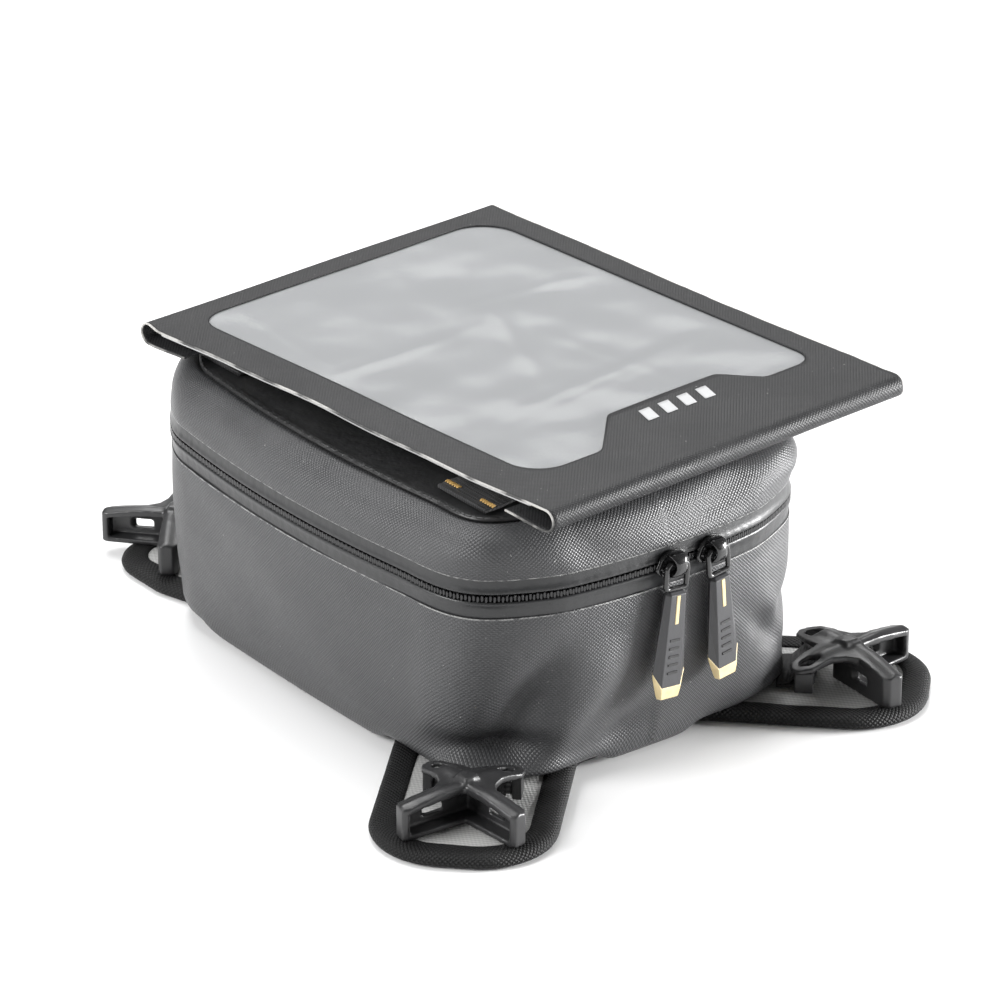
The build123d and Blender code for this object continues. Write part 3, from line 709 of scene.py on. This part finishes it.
hinge_s = np.linspace(227.6, PLAN_RUN - 227.6, 81)
hinge_z = np.linspace(BODY_TOP - 0.2, 73.4, 13)
swell = 0.5 * np.sin(np.linspace(0, math.pi, 13)) - 0.35
plan = bag_plan(hinge_s[None], ZIP_BOW, 0.0) + swell[:, None, None] * outward(hinge_s)[None]
front_face = raised(plan, hinge_z[:, None])
back_face = front_face[::-1].copy()
back_face[..., :2] -= 1.0 * outward(hinge_s)
rows = np.swapaxes(np.concatenate([front_face, back_face]), 0, 1) * MM
height = np.concatenate([hinge_z, hinge_z[::-1] + 40, hinge_z[:1] + 80])
uv = np.swapaxes(cloth_map(height, hinge_s), 0, 1)
hinge = surface("rear_hinge_cloth", None, rows, uv, wrap=(False, True), caps=(True, True), mats=(tarp,))
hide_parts("rear_hinge_strip")
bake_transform(hinge)

# The lid: the same cloth, drawn over a stiff board into a soft shoulder, with a smooth black
# panel let into its top inside a rounded seam.
# the lid's section as height, bow and inset, and its puckers in the same terms as the wall's folds
LID_PROFILE = np.array([(73.5, 9.0, 0.15), (73.8, 9.0, 0.0), (75.0, 9.0, -0.1), (76.5, 9.0, 0.0),
                        (78.5, 8.8, 0.1), (80.5, 8.6, 0.3), (82.4, 8.3, 0.7), (84.0, 8.0, 1.3),
                        (85.5, 7.75, 2.1), (86.8, 7.5, 3.1), (87.8, 7.3, 4.2), (88.5, 7.1, 5.4),
                        (88.9, 6.9, 6.5), (88.85, 6.8, 7.4), (88.4, 6.6, 8.1), (88.2, 6.5, 8.8)])
PUCKERS = ((0.9, -57, 82, 12, 6, 0), (-0.9, -30, 80, 8, 7, -0.8), (-1.0, 22, 82, 9, 5, 1.4),
           (0.8, 40, 81, 8, 5, 1.2), (2.6, 62, 85, 16, 9, 0), (-1.2, 12, 79, 14, 4, 0))
LID_UNDER = 87.55


def lid_slack(s, z):
    """Soft puckers on the lid's shoulder, in mm, fading out at its welded edge and at the panel."""
    ripples = 0.5 * np.sin(s / 19.0 + 1.1) * np.sin(z / 8.0) + 0.25 * np.sin(s / 8.0 + z / 6.0)
    move = folds(s, z, PUCKERS) + ripples
    return move * np.clip((z - 74.0) / 4.0, 0, 1) * np.clip((89.3 - z) / 2.0, 0.15, 1)


s = cloth_s[:-1][None, :]
lid_z, lid_bow, lid_in = LID_PROFILE.T
plan = bag_plan(s, lid_bow[:, None], lid_in[:, None])
move = lid_slack(s, lid_z[:, None])
outer = raised(plan + move[..., None] * outward(s), lid_z[:, None])
inner = outer[:12][::-1].copy()
inner[..., :2] -= 1.0 * outward(s)
inner[..., 2] = np.minimum(inner[..., 2] - 0.6, LID_UNDER)
inner[-1, :, 2] = 73.6
middle_out = outer[-1][None] * np.array([0.8, 0.4])[:, None, None]
middle_out[..., 2] = 88.2
middle_in = inner[0][None] * np.array([0.4, 0.8])[:, None, None]
middle_in[..., 2] = LID_UNDER
rows = np.concatenate([middle_in, inner, outer, middle_out]) * MM
outer_run = run_along(np.column_stack([lid_z, lid_in])) + 73.5
height = np.concatenate([[300, 320], 340 + np.arange(12) * 1.5, outer_run, outer_run[-1] + [20.0, 50.0]])
lid_cloth, lid_flat, lid_colour = coated_cloth("coated_lid_cloth", TARP_LOW, TARP_HIGH, 0.38, WEAVE, 0.00013)
weld_line(lid_cloth, lid_flat, lid_colour, 1, 0.0738, 0.00026, 420.0, WELD_PALE)
lid = surface("lid_cloth", "lid", rows, cloth_map(height, cloth_s), wrap=(False, True), caps=(True, True),
              mats=(lid_cloth,))
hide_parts("lid_shell")

panel_coat = paint("smooth_black_panel", (0.018, 0.018, 0.0185), 0.4)
flat = add(panel_coat, "UVMap", uv_map="cloth")
cloud = noise(panel_coat, 55.0, 4.0)
dash = sine(panel_coat, times(panel_coat, add(panel_coat, "SeparateXYZ", flat), math.pi / 0.0022))
near = add(panel_coat, "Math", add(panel_coat, "SeparateXYZ", flat, out=1), 0.0023, operation="SUBTRACT")
near = add(panel_coat, "Math", near, operation="ABSOLUTE")
seam = times(panel_coat, spread(panel_coat, near, 0.0002, 0.0005, 1.0, 0.0), spread(panel_coat, dash, -0.7, 0.0))
lift = raise_surface(panel_coat, seam, 0.00025)
lift = raise_surface(panel_coat, noise(panel_coat, 700.0, 3.0), 0.00005, lift)
plug(panel_coat, raise_surface(panel_coat, cloud, 0.0014, lift), "Normal")
plug(panel_coat, spread(panel_coat, cloud, 0.3, 0.7, 0.32, 0.5), "Roughness")
# the panel's rolled seam and flat, as inset and height
PANEL = np.array([(9.1, 88.25), (8.4, 88.9), (8.5, 89.5), (9.2, 89.9), (10.1, 89.95), (11.0, 89.7),
                  (11.9, 89.45), (13.5, 89.5), (16.5, 89.7)])
rows = [raised(bag_plan(cloth_s[:-1], 6.5, inset), z) for inset, z in PANEL]
edge = rows[-1]
for shrink in (0.8, 0.6, 0.4, 0.2):
    ring_pts = edge * np.array([shrink, shrink, 1.0])
    ring_pts[:, 2] = 89.7 + 0.22 * np.sin(ring_pts[:, 0] / 13.0 + 1.0) * np.sin(ring_pts[:, 1] / 17.0)
    rows.append(ring_pts)
low = rows[0] * np.array([0.97, 0.97, 1.0])
rows = np.stack([low * np.array([0.3, 0.3, 1.0]), low] + rows) * MM
uv = cloth_map(np.concatenate([[-30, -10], run_along(PANEL), 12 + np.arange(4) * 9.0]), cloth_s)
panel = surface("lid_panel", "lid", rows, uv, wrap=(False, True), caps=(True, True), mats=(panel_coat,))
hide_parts("lid_top_panel")

# Two webbing straps lie across the lid, sewn down at their ends with gold bar-tacks. The
# pocket's flaps pass under them.
thread = paint("gold_thread", (0.56, 0.34, 0.09), 0.45, Sheen_Weight=0.3)
grained(thread, 3000.0, 2.0, 0.0001)
STRAP_Y = 64.0
# the strap's middle line rises from its sewn ends, at +-52 mm, over the pocket's back
STRAP_REACH = np.array([0.0, 15.0, 30.0, 40.0, 43.0, 45.5, 49.0, 51.6, 52.0])
STRAP_RISE = np.array([92.0, 92.0, 92.0, 91.9, 91.55, 91.2, 91.05, 91.0, 90.9])
STRAP_X = np.concatenate([-STRAP_REACH[:0:-1], STRAP_REACH])
STRAP_MID = np.concatenate([STRAP_RISE[:0:-1], STRAP_RISE])
STRAP_SECTION = np.array([(-12.0, 0.0), (-11.7, 0.55), (-6, 0.6), (0, 0.6), (6, 0.6), (11.7, 0.55),
                          (12.0, 0.0), (11.7, -0.55), (0, -0.6), (-11.7, -0.55)])
for label, y in (("front", -STRAP_Y), ("rear", STRAP_Y)):
    points = np.stack(np.broadcast_arrays(STRAP_X[:, None], y + STRAP_SECTION[None, :, 0],
                                          STRAP_MID[:, None] + STRAP_SECTION[None, :, 1]), 2) * MM
    uv = cloth_map(STRAP_X, np.append(STRAP_SECTION[:, 0], STRAP_SECTION[0, 0]))[..., ::-1]
    strap = surface("webbing_strap_" + label, "lid", points, uv, wrap=(False, True), caps=(True, True),
                    mats=(webbing,))
    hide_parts("lid_strap_" + label)

# a bar-tack is eleven stitches side by side, each a little six-sided barrel
ball = np.array([(0.0, math.sin(t) * 0.34, math.cos(t) * 0.34) for t in np.arange(6) * math.pi / 3])
stitch_cell = np.concatenate([ball * np.array([1, k, k]) + np.array([x, 0, lift_z]) for x, k, lift_z in
                              ((-0.95, 0.45, -0.2), (-0.6, 0.95, 0.05), (0.0, 1.0, 0.14), (0.6, 0.95, 0.05),
                               (0.95, 0.45, -0.2))])
tack_spots = np.array([(x, y + side + step) for x in (-48.5, 48.5) for y in (-STRAP_Y, STRAP_Y)
                       for side in (-8.5, 8.5) for step in np.linspace(-2.9, 2.9, 11)])
lean = 0.28 * (-1.0) ** np.arange(len(tack_spots))
tacks = copies("gold_bar_tacks", "lid", stitch_cell, 6, raised(tack_spots, 91.72),
               raised(np.stack([np.cos(lean), np.sin(lean)], 1), 0.0),
               raised(np.stack([-np.sin(lean), np.cos(lean)], 1), 0.0),
               np.tile([0.0, 0.0, 1.0], (len(tack_spots), 1)), (thread,))
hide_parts("strap_bar_tacks")

# The phone pocket: a grey back sheet and a frame of the coated cloth round a clear film, pinched
# together along one long side. Both short ends roll under and run back to the straps.
POCKET_X, POCKET_Y = 16.5, -3.0
YAW = math.radians(4.6)
HALF_U, EDGE_V = 74.0, 88.0


def pocket_place(u, v, z):
    """Pocket coordinates, mm along and across it, to the bag's metres."""
    plan = np.stack([POCKET_X + u * math.cos(YAW) - v * math.sin(YAW),
                     POCKET_Y + u * math.sin(YAW) + v * math.cos(YAW)], -1)
    return raised(plan, z) * MM


def pocket_map(u, v):
    """Flat coordinates in metres of a grid of pocket coordinates."""
    return np.stack([u, v], 2) * MM


def thicken(piece, thick, under=0):
    """Gives a skin its thickness in mm, downwards; under picks the underside's finish."""
    wall = piece.modifiers.new("thickness", "SOLIDIFY")
    wall.thickness = thick * MM
    wall.offset = -1.0
    wall.material_offset = under


def pocket_top(u, v):
    """Height of the frame: nearly flat, a little proud in the middle, wavy along its long edges."""
    dome = 100.9 + 0.35 * np.cos(np.clip(u / HALF_U, -1, 1) * math.pi / 2) * np.cos(v / 95 * math.pi / 2)
    near_edge = np.exp(-((u + HALF_U) / 9.0) ** 2)
    far_edge = np.exp(-((u - HALF_U) / 9.0) ** 2)
    dome = dome - near_edge * (0.5 - 0.45 * np.sin(v / 21.0 + 0.5) - 0.2 * np.sin(v / 8.0))
    dome = dome - far_edge * (0.4 + 0.3 * np.sin(v / 26.0 + 2.0))
    return dome + 0.12 * np.sin(u / 11.0 + 0.4) * np.sin(v / 15.0)


# the window's corners, each with its radius, and the point that the frame's grid fans out from
WINDOW = ((-60, -74, 12), (-33, -74, 6), (-14, -56, 4), (32, -56, 4), (42, -68, 5), (64, -68, 8),
          (64, 86, 14), (-60, 86, 10))
MIDDLE = np.array([0.0, 5.0])
outline, _ = rounded_path(WINDOW, 0.5)
ray = np.arctan2(outline[:, 1] - MIDDLE[1], outline[:, 0] - MIDDLE[0])
reach = np.hypot(*(outline - MIDDLE).T)
order = np.argsort(ray)
corner_rays = np.arctan2(np.array([-1, -1, 1, 1]) * EDGE_V - MIDDLE[1],
                         np.array([-1, 1, 1, -1]) * HALF_U - MIDDLE[0])
rays = np.unique(np.concatenate([np.linspace(-math.pi, math.pi, 420, endpoint=False), corner_rays]))
window_reach = np.interp(rays, np.concatenate([ray[order] - 2 * math.pi, ray[order], ray[order] + 2 * math.pi]),
                         np.tile(reach[order], 3))
cosine, sine = np.cos(rays), np.sin(rays)
to_side = np.where(cosine < 0, -1.0, 1.0)
to_end = np.where(sine < 0, -1.0, 1.0)
edge_reach = np.minimum((HALF_U * to_side - MIDDLE[0]) / (to_side * np.maximum(abs(cosine), 1e-9)),
                        (EDGE_V * to_end - MIDDLE[1]) / (to_end * np.maximum(abs(sine), 1e-9)))
t = np.linspace(0, 1, 12)[:, None]
radius = window_reach[None] * (1 - t) + edge_reach[None] * t
frame_u = MIDDLE[0] + radius * cosine
frame_v = MIDDLE[1] + radius * sine

# The pocket frame is a slightly darker cloth than the body's. Its colour is darkened further as painted shade, which
# stands in for dimmer light on the pocket's top.
sheet_cloth, sheet_flat, sheet_colour = coated_cloth("pocket_cloth", (0.020, 0.0203, 0.0213),
                                                     (0.031, 0.0313, 0.0325), 0.46, 0.0009, 0.00009)
sheet_cloth.node_tree.nodes["Principled BSDF"].inputs["Specular IOR Level"].default_value = 0.25
for at in (-HALF_U * MM, HALF_U * MM):
    sheet_colour = weld_line(sheet_cloth, sheet_flat, sheet_colour, 0, at, 0.0005, 70.0, (0.5, 0.49, 0.47))


def roll(sign, u):
    """The pocket's end as a path in v and z: over the end, under in a tear-drop and back inward."""
    turn = np.radians(np.linspace(90, -90, 19))
    droop = 0.25 * np.sin(u / 17.0 + sign)
    v_arc = 93.1 + 3.9 * np.cos(turn)
    z_arc = 97.15 + 3.75 * np.sin(turn)
    v = np.concatenate([[EDGE_V, 89.2, 90.6, 91.9], v_arc, [90.5, 87.0, 83.0, 79.0, 75.5]])
    z = np.concatenate([[0.0, 0.0, 0.0, 0.0], z_arc, [93.35, 93.5, 93.75, 94.05, 94.2]])
    start = pocket_top(u, sign * EDGE_V)
    blend_in = np.array([1.0, 0.85, 0.5, 0.18])
    rows = np.repeat(z[:, None], len(u), 1)
    rows[:4] = blend_in[:, None] * start[None] + (1 - blend_in[:, None]) * 100.9
    weight = np.sin(np.clip((np.arange(len(z)) - 4) / 19.0, 0, 1) * math.pi)
    rows += weight[:, None] * droop[None]
    run = run_along(np.column_stack([v, np.concatenate([[100.9] * 4, z[4:]])]))
    return np.repeat(sign * v[:, None], len(u), 1), rows, run


edge_u = frame_u[-1]
edge_v = frame_v[-1]
flat = pocket_map(np.hstack([frame_u, frame_u[:, :1]]), np.hstack([frame_v, frame_v[:, :1]]))
pocket_pieces = [surface("pocket_frame_part", None, pocket_place(frame_u, frame_v, pocket_top(frame_u, frame_v)),
                         flat, wrap=(False, True), closed=False)]
for sign in (-1, 1):
    u = np.sort(edge_u[np.abs(edge_v - sign * EDGE_V) < 1e-6])[::sign * -1]
    v_rows, z_rows, run = roll(sign, u)
    u_rows = np.repeat(u[None], len(run), 0)
    flat = pocket_map(u_rows, sign * (EDGE_V + run[:, None]) + 0 * u_rows)
    pocket_pieces.append(surface("pocket_end_part", None, pocket_place(u_rows, v_rows, z_rows), flat,
                                 closed=False))
joined = bmesh.new()
for piece in pocket_pieces:
    joined.from_mesh(piece.data)
    bpy.data.objects.remove(piece)
bmesh.ops.remove_doubles(joined, verts=joined.verts, dist=2e-5)
bmesh.ops.recalc_face_normals(joined, faces=joined.faces)
frame_mesh = bpy.data.meshes.new("pocket_frame_cloth")
joined.to_mesh(frame_mesh)
joined.free()
frame_mesh.polygons.foreach_set("use_smooth", np.ones(len(frame_mesh.polygons), bool))
heights = np.array([(f.center.z, f.normal.z) for f in frame_mesh.polygons])
if heights[heights[:, 0] > 0.1004, 1].mean() < 0:
    frame_mesh.flip_normals()
frame_mesh.materials.append(sheet_cloth)
frame_piece = stand("pocket_frame_cloth", frame_mesh)
thicken(frame_piece, 0.6)
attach(frame_piece, "lid")
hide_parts("pocket_frame", "pocket_fold_front", "pocket_fold_rear")

back_u = np.linspace(-73.8, 73.4, 75)
back_v = np.linspace(-86.5, 86.5, 88)
u, v = np.meshgrid(back_u, back_v, indexing="ij")
pinch = np.clip((-u - 58.0) / 15.5, 0, 1)
pinch = pinch * pinch * (3 - 2 * pinch)
z = 94.95 + 0.12 * np.sin(u / 13.0) * np.sin(v / 19.0)
z = z * (1 - pinch) + (pocket_top(u, v) - 1.15) * pinch
back_cloth = coated_cloth("pale_back_sheet", (0.44, 0.443, 0.447), (0.50, 0.503, 0.507), 0.5, 0.0008,
                          0.00003)[0]
dark_cloth = coated_cloth("pocket_under_cloth", (0.04, 0.041, 0.043), (0.06, 0.061, 0.063), 0.5, 0.0009,
                          0.00008)[0]
pocket_back = surface("pocket_back_sheet", "lid", pocket_place(u, v, z), pocket_map(u, v),
                      mats=(back_cloth, dark_cloth), closed=False)
thicken(pocket_back, 0.5, under=1)
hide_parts("pocket_back")

film = paint("clear_film", (0.55, 0.56, 0.57), 0.15, Specular_IOR_Level=0.8)
facing = add(film, "LayerWeight", 0.35, out="Fresnel")
plug(film, spread(film, facing, 0.0, 1.0, 0.2, 0.95), "Alpha")
grained(film, 30.0, 1.0, 0.0016)
u, v = np.meshgrid(np.linspace(-65.0, 69.0, 96), np.linspace(-79.0, 87.0, 118), indexing="ij")
rng = np.random.default_rng(7)
wrinkle = np.zeros_like(u)
for k in range(14):
    angle = rng.uniform(-0.5, 0.5) + (math.pi / 2 if k % 2 else 0)
    across = (u - rng.uniform(-50, 50)) * math.cos(angle) + (v - rng.uniform(-60, 70)) * math.sin(angle)
    tall = rng.uniform(0.15, 0.42)
    middle_u, middle_v = rng.uniform(-50, 50), rng.uniform(-60, 70)
    fading = np.exp(-((u - middle_u) ** 2 + (v - middle_v) ** 2) / 34.0 ** 2)
    wrinkle += tall * np.exp(-(across / 3.2) ** 2) * fading
sag = -0.7 * np.cos(u / 70 * math.pi / 2) * np.cos((v - 4) / 84 * math.pi / 2)
z = pocket_top(u, v) - 0.78 + sag + wrinkle * np.clip((60 - abs(u)) / 10, 0, 1)
window = surface("pocket_clear_film", "lid", pocket_place(u, v, z), pocket_map(u, v), mats=(film,),
                 closed=False)
thicken(window, 0.25)
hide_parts("pocket_window")

print_ink = paint("reflective_bars", (0.5, 0.505, 0.51), 0.38)
grained(print_ink, 2500.0, 2.0, 0.00004)
bar_u, bar_v = np.meshgrid(np.linspace(-2.2, 2.2, 6), np.linspace(-3.6, 3.6, 7), indexing="ij")
v = bar_v - 64.5
joined = bmesh.new()
for k in range(4):
    u = bar_u + bar_v / 3.0 + 8.0 * k - 4.5
    piece = surface("bar", None, pocket_place(u, v, pocket_top(u, v) + 0.14), closed=False)
    joined.from_mesh(piece.data)
    bpy.data.objects.remove(piece)
bar_mesh = bpy.data.meshes.new("printed_bars")
joined.to_mesh(bar_mesh)
joined.free()
bar_mesh.materials.append(print_ink)
mark = stand("printed_bars", bar_mesh)
thicken(mark, 0.12)
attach(mark, "lid")
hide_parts("pocket_mark")

pile = paint("hook_and_loop_pile", (0.012, 0.012, 0.0125), 0.9, Sheen_Weight=0.5)
grained(pile, 2200.0, 4.0, 0.0004)
for label, sign in (("front", -1), ("rear", 1)):
    v_mid = sign * STRAP_Y - POCKET_Y
    patch_edge, _ = rounded_path(((20, v_mid - 12, 2), (20, v_mid + 12, 2), (-20, v_mid + 12, 2),
                                  (-20, v_mid - 12, 2)), 1.0)
    patch_in = left_of(patch_edge)
    rows = np.stack([pocket_place(*(patch_edge + patch_in * inset).T, z)
                     for inset, z in ((0.5, 93.62), (0.0, 93.75), (0.0, 94.2), (0.5, 94.35))])
    patch = surface("hook_loop_patch_" + label, "lid", rows, wrap=(False, True), caps=(True, True),
                    mats=(pile,))
    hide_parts("hook_loop_" + label)

# The sliders and pullers: enamelled die-cast sliders, each with an arched bridge that holds a
# wire loop, and a faceted moulded tab with a gold inlay and a gold tip.
enamel = paint("black_enamel", (0.01, 0.01, 0.0105), 0.2, Coat_Weight=0.5, Coat_Roughness=0.12)
grained(enamel, 500.0, 2.0, 0.0001)
tab_grey = paint("moulded_tab_grey", (0.05, 0.05, 0.053), 0.36)
grained(tab_grey, 2400.0, 2.0, 0.00003)
gold = paint("pale_gold_moulding", (0.60, 0.46, 0.22), 0.34)
grained(gold, 1800.0, 2.0, 0.00004)
plug(gold, tint(gold, spread(gold, noise(gold, 300.0, 2.0), 0.3, 0.7), (0.66, 0.52, 0.27), (0.76, 0.62, 0.35)),
     "Base Color")

# the front of the zip is an arc, 63 mm to each side and bowed out by the zip's bow; the sliders ride on it
ARC_R = (63.0 ** 2 + ZIP_BOW ** 2) / (2 * ZIP_BOW)
ARC_Y = ARC_R - 99.5
PIVOT_Z = 69.2
PULLER_OUT = 3.6
WIRE_R = 0.9
SLIDER_PLAN = ((-6.8, 67.2, 1.2), (-4.5, 64.4, 2.4), (4.5, 64.4, 2.4), (6.8, 67.2, 1.2), (4.8, 71.2, 2.4),
               (0, 72.8, 3.0), (-4.8, 71.2, 2.4))
SLIDER_LEVELS = ((0.35, 0.35), (0.0, 0.6), (0.0, 1.3), (0.35, 1.75), (0.9, 1.85), (1.3, 1.6), (1.7, 1.7),
                 (2.4, 2.2), (3.2, 2.4))
BRIDGE_SECTION = np.array([(-1.0, 0.0), (-0.85, 0.5), (-0.4, 0.72), (0.4, 0.72), (0.85, 0.5), (1.0, 0.0),
                           (0.8, -0.42), (0, -0.52), (-0.8, -0.42)])
brick = np.array([(x, o, z) for z in (-0.5, 0.5) for x, o in ((-1, -1), (1, -1), (1, 1), (-1, 1))], float)
for label, degrees, lean_degrees in (("left", 0.1, -5.0), ("right", 4.1, 5.0)):
    spin, lean = math.radians(degrees), math.radians(lean_degrees)
    origin = np.array([math.sin(spin) * ARC_R, ARC_Y - math.cos(spin) * ARC_R, 0.0])
    along = np.array([math.cos(spin), math.sin(spin), 0.0])
    away = np.array([math.sin(spin), -math.cos(spin), 0.0])

    def local(points):
        """Slider coordinates, mm along the zip, out of the bag and up, to the bag's metres."""
        return (origin + points[..., 0:1] * along + points[..., 1:2] * away
                + points[..., 2:3] * np.array([0.0, 0.0, 1.0])) * MM

    def hung(points):
        """The same, for a puller that hangs a few degrees off plumb from its pivot."""
        x, z = points[..., 0], points[..., 2] - PIVOT_Z
        return local(np.stack([x * math.cos(lean) - z * math.sin(lean), points[..., 1],
                               PIVOT_Z + x * math.sin(lean) + z * math.cos(lean)], -1))

    def upright(path, out):
        """A path drawn in x and z, stood up facing out of the bag, out mm away."""
        return np.column_stack([path[:, 0], np.full(len(path), out), path[:, 1]])

    # the slider's leaf-shaped body, crowned, then its arched bridge
    plate, _ = rounded_path(SLIDER_PLAN, 0.3)
    plate_in = left_of(plate)
    rows = np.stack([upright(plate + plate_in * inset, out) for inset, out in SLIDER_LEVELS])
    slider = surface("slider_body_" + label, "slider_" + label, local(rows), wrap=(False, True),
                     caps=(True, True), mats=(enamel,))
    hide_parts("slider_" + label)
    swing = np.radians(np.linspace(-6, 186, 27))
    arch_z = 68.6 - 3.4 * np.cos(swing)
    arch_out = 2.0 + 3.6 * np.sin(np.clip(swing, 0, math.pi)) ** 0.7
    slope = np.arctan2(np.gradient(arch_z), np.gradient(arch_out))
    half_width = 2.15 + 1.1 * np.cos(swing) ** 2
    rows = np.stack(np.broadcast_arrays(
        BRIDGE_SECTION[None, :, 0] * half_width[:, None],
        arch_out[:, None] + BRIDGE_SECTION[None, :, 1] * np.sin(slope)[:, None],
        arch_z[:, None] - BRIDGE_SECTION[None, :, 1] * np.cos(slope)[:, None]), 2)
    bridge = surface("slider_bridge_" + label, "slider_" + label, local(rows), wrap=(False, True), caps=(True, True),
                     mats=(enamel,))

    # the wire loop: a rounded ring whose top bar turns inside the bridge
    wire, _ = rounded_path(((-4.0, 60.8, 1.0), (4.0, 60.8, 1.0), (4.0, 69.2, 2.0), (-4.0, 69.2, 2.0)), 0.5)
    wire_in = left_of(wire) * WIRE_R
    rows = np.stack([upright(wire + wire_in * math.cos(a), PULLER_OUT + WIRE_R * math.sin(a))
                     for a in np.arange(10) * math.pi / 5])
    loop = surface("puller_wire_" + label, "puller_" + label, hung(rows), wrap=(True, True), mats=(enamel,))
    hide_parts("puller_loop_" + label)

    def faceted(name, levels, made):
        """A bar of six flats: at each height z a half width w, a front flat of half width f set d out and
        lowered by drop, side edges m out and a back set back in."""
        rows = [np.array([(-w, m, z), (-f, d, z - drop), (f, d, z - drop), (w, m, z),
                          (w * 0.8, -back, z), (-w * 0.8, -back, z)]) + np.array([0.0, PULLER_OUT, 0.0])
                for z, drop, w, f, m, d, back in levels]
        piece = surface(name, "puller_" + label, hung(np.stack(rows)), wrap=(False, True), caps=(True, True),
                        mats=(made,))
        piece.data.polygons.foreach_set("use_smooth", np.zeros(len(piece.data.polygons), bool))
        edge = piece.modifiers.new("edge", "BEVEL")
        edge.width = 0.16 * MM
        edge.segments = 2
        edge.limit_method = "ANGLE"
        edge.angle_limit = math.radians(12)
        return piece

    tab = faceted("puller_tab_" + label, ((60.0, 0, 3.2, 2.4, 0.1, 0.8, 1.0), (59.2, 0, 3.9, 2.8, 0.1, 1.7, 1.6),
                                          (57.0, 0, 4.1, 2.9, 0.0, 1.8, 1.7), (45.0, 0.6, 5.2, 3.2, -0.1, 1.8, 1.7),
                                          (33.2, 4.7, 6.25, 3.6, -0.2, 1.7, 1.6)), tab_grey)
    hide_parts("puller_body_" + label)
    tip = faceted("puller_gold_tip_" + label,
                  ((33.4, 4.8, 6.35, 3.7, -0.1, 1.82, 1.7), (31.5, 4.2, 6.0, 3.65, -0.1, 1.82, 1.7),
                   (25.6, 0.6, 4.1, 3.35, -0.3, 1.5, 1.5), (24.5, 0.0, 3.5, 2.9, -0.4, 0.9, 1.1)), gold)
    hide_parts("puller_tip_" + label)
    inlay = faceted("puller_gold_inlay_" + label, ((59.0, 0, 0.75, 0.65, 1.5, 1.98, 0.5),
                                                   (49.6, 0, 0.75, 0.65, 1.5, 1.98, 0.5)), gold)
    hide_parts("puller_inlay_" + label)

    # five plain ribs across the lower half of the tab, for grip
    rib_z = 33.5 + 2.7 * np.arange(5)
    centre = hung(np.column_stack([np.zeros(5), np.full(5, 5.35), rib_z])) / MM
    rib_way = along * math.cos(lean) + np.array([0.0, 0.0, math.sin(lean)])
    rib_up = -along * math.sin(lean) + np.array([0.0, 0.0, math.cos(lean)])
    ribs = copies("puller_ribs_" + label, "puller_" + label, brick * np.array([1.9, 0.22, 0.8]), 4, centre,
                  np.tile(rib_way, (5, 1)), np.tile(away, (5, 1)), np.tile(rib_up, (5, 1)), (enamel,))
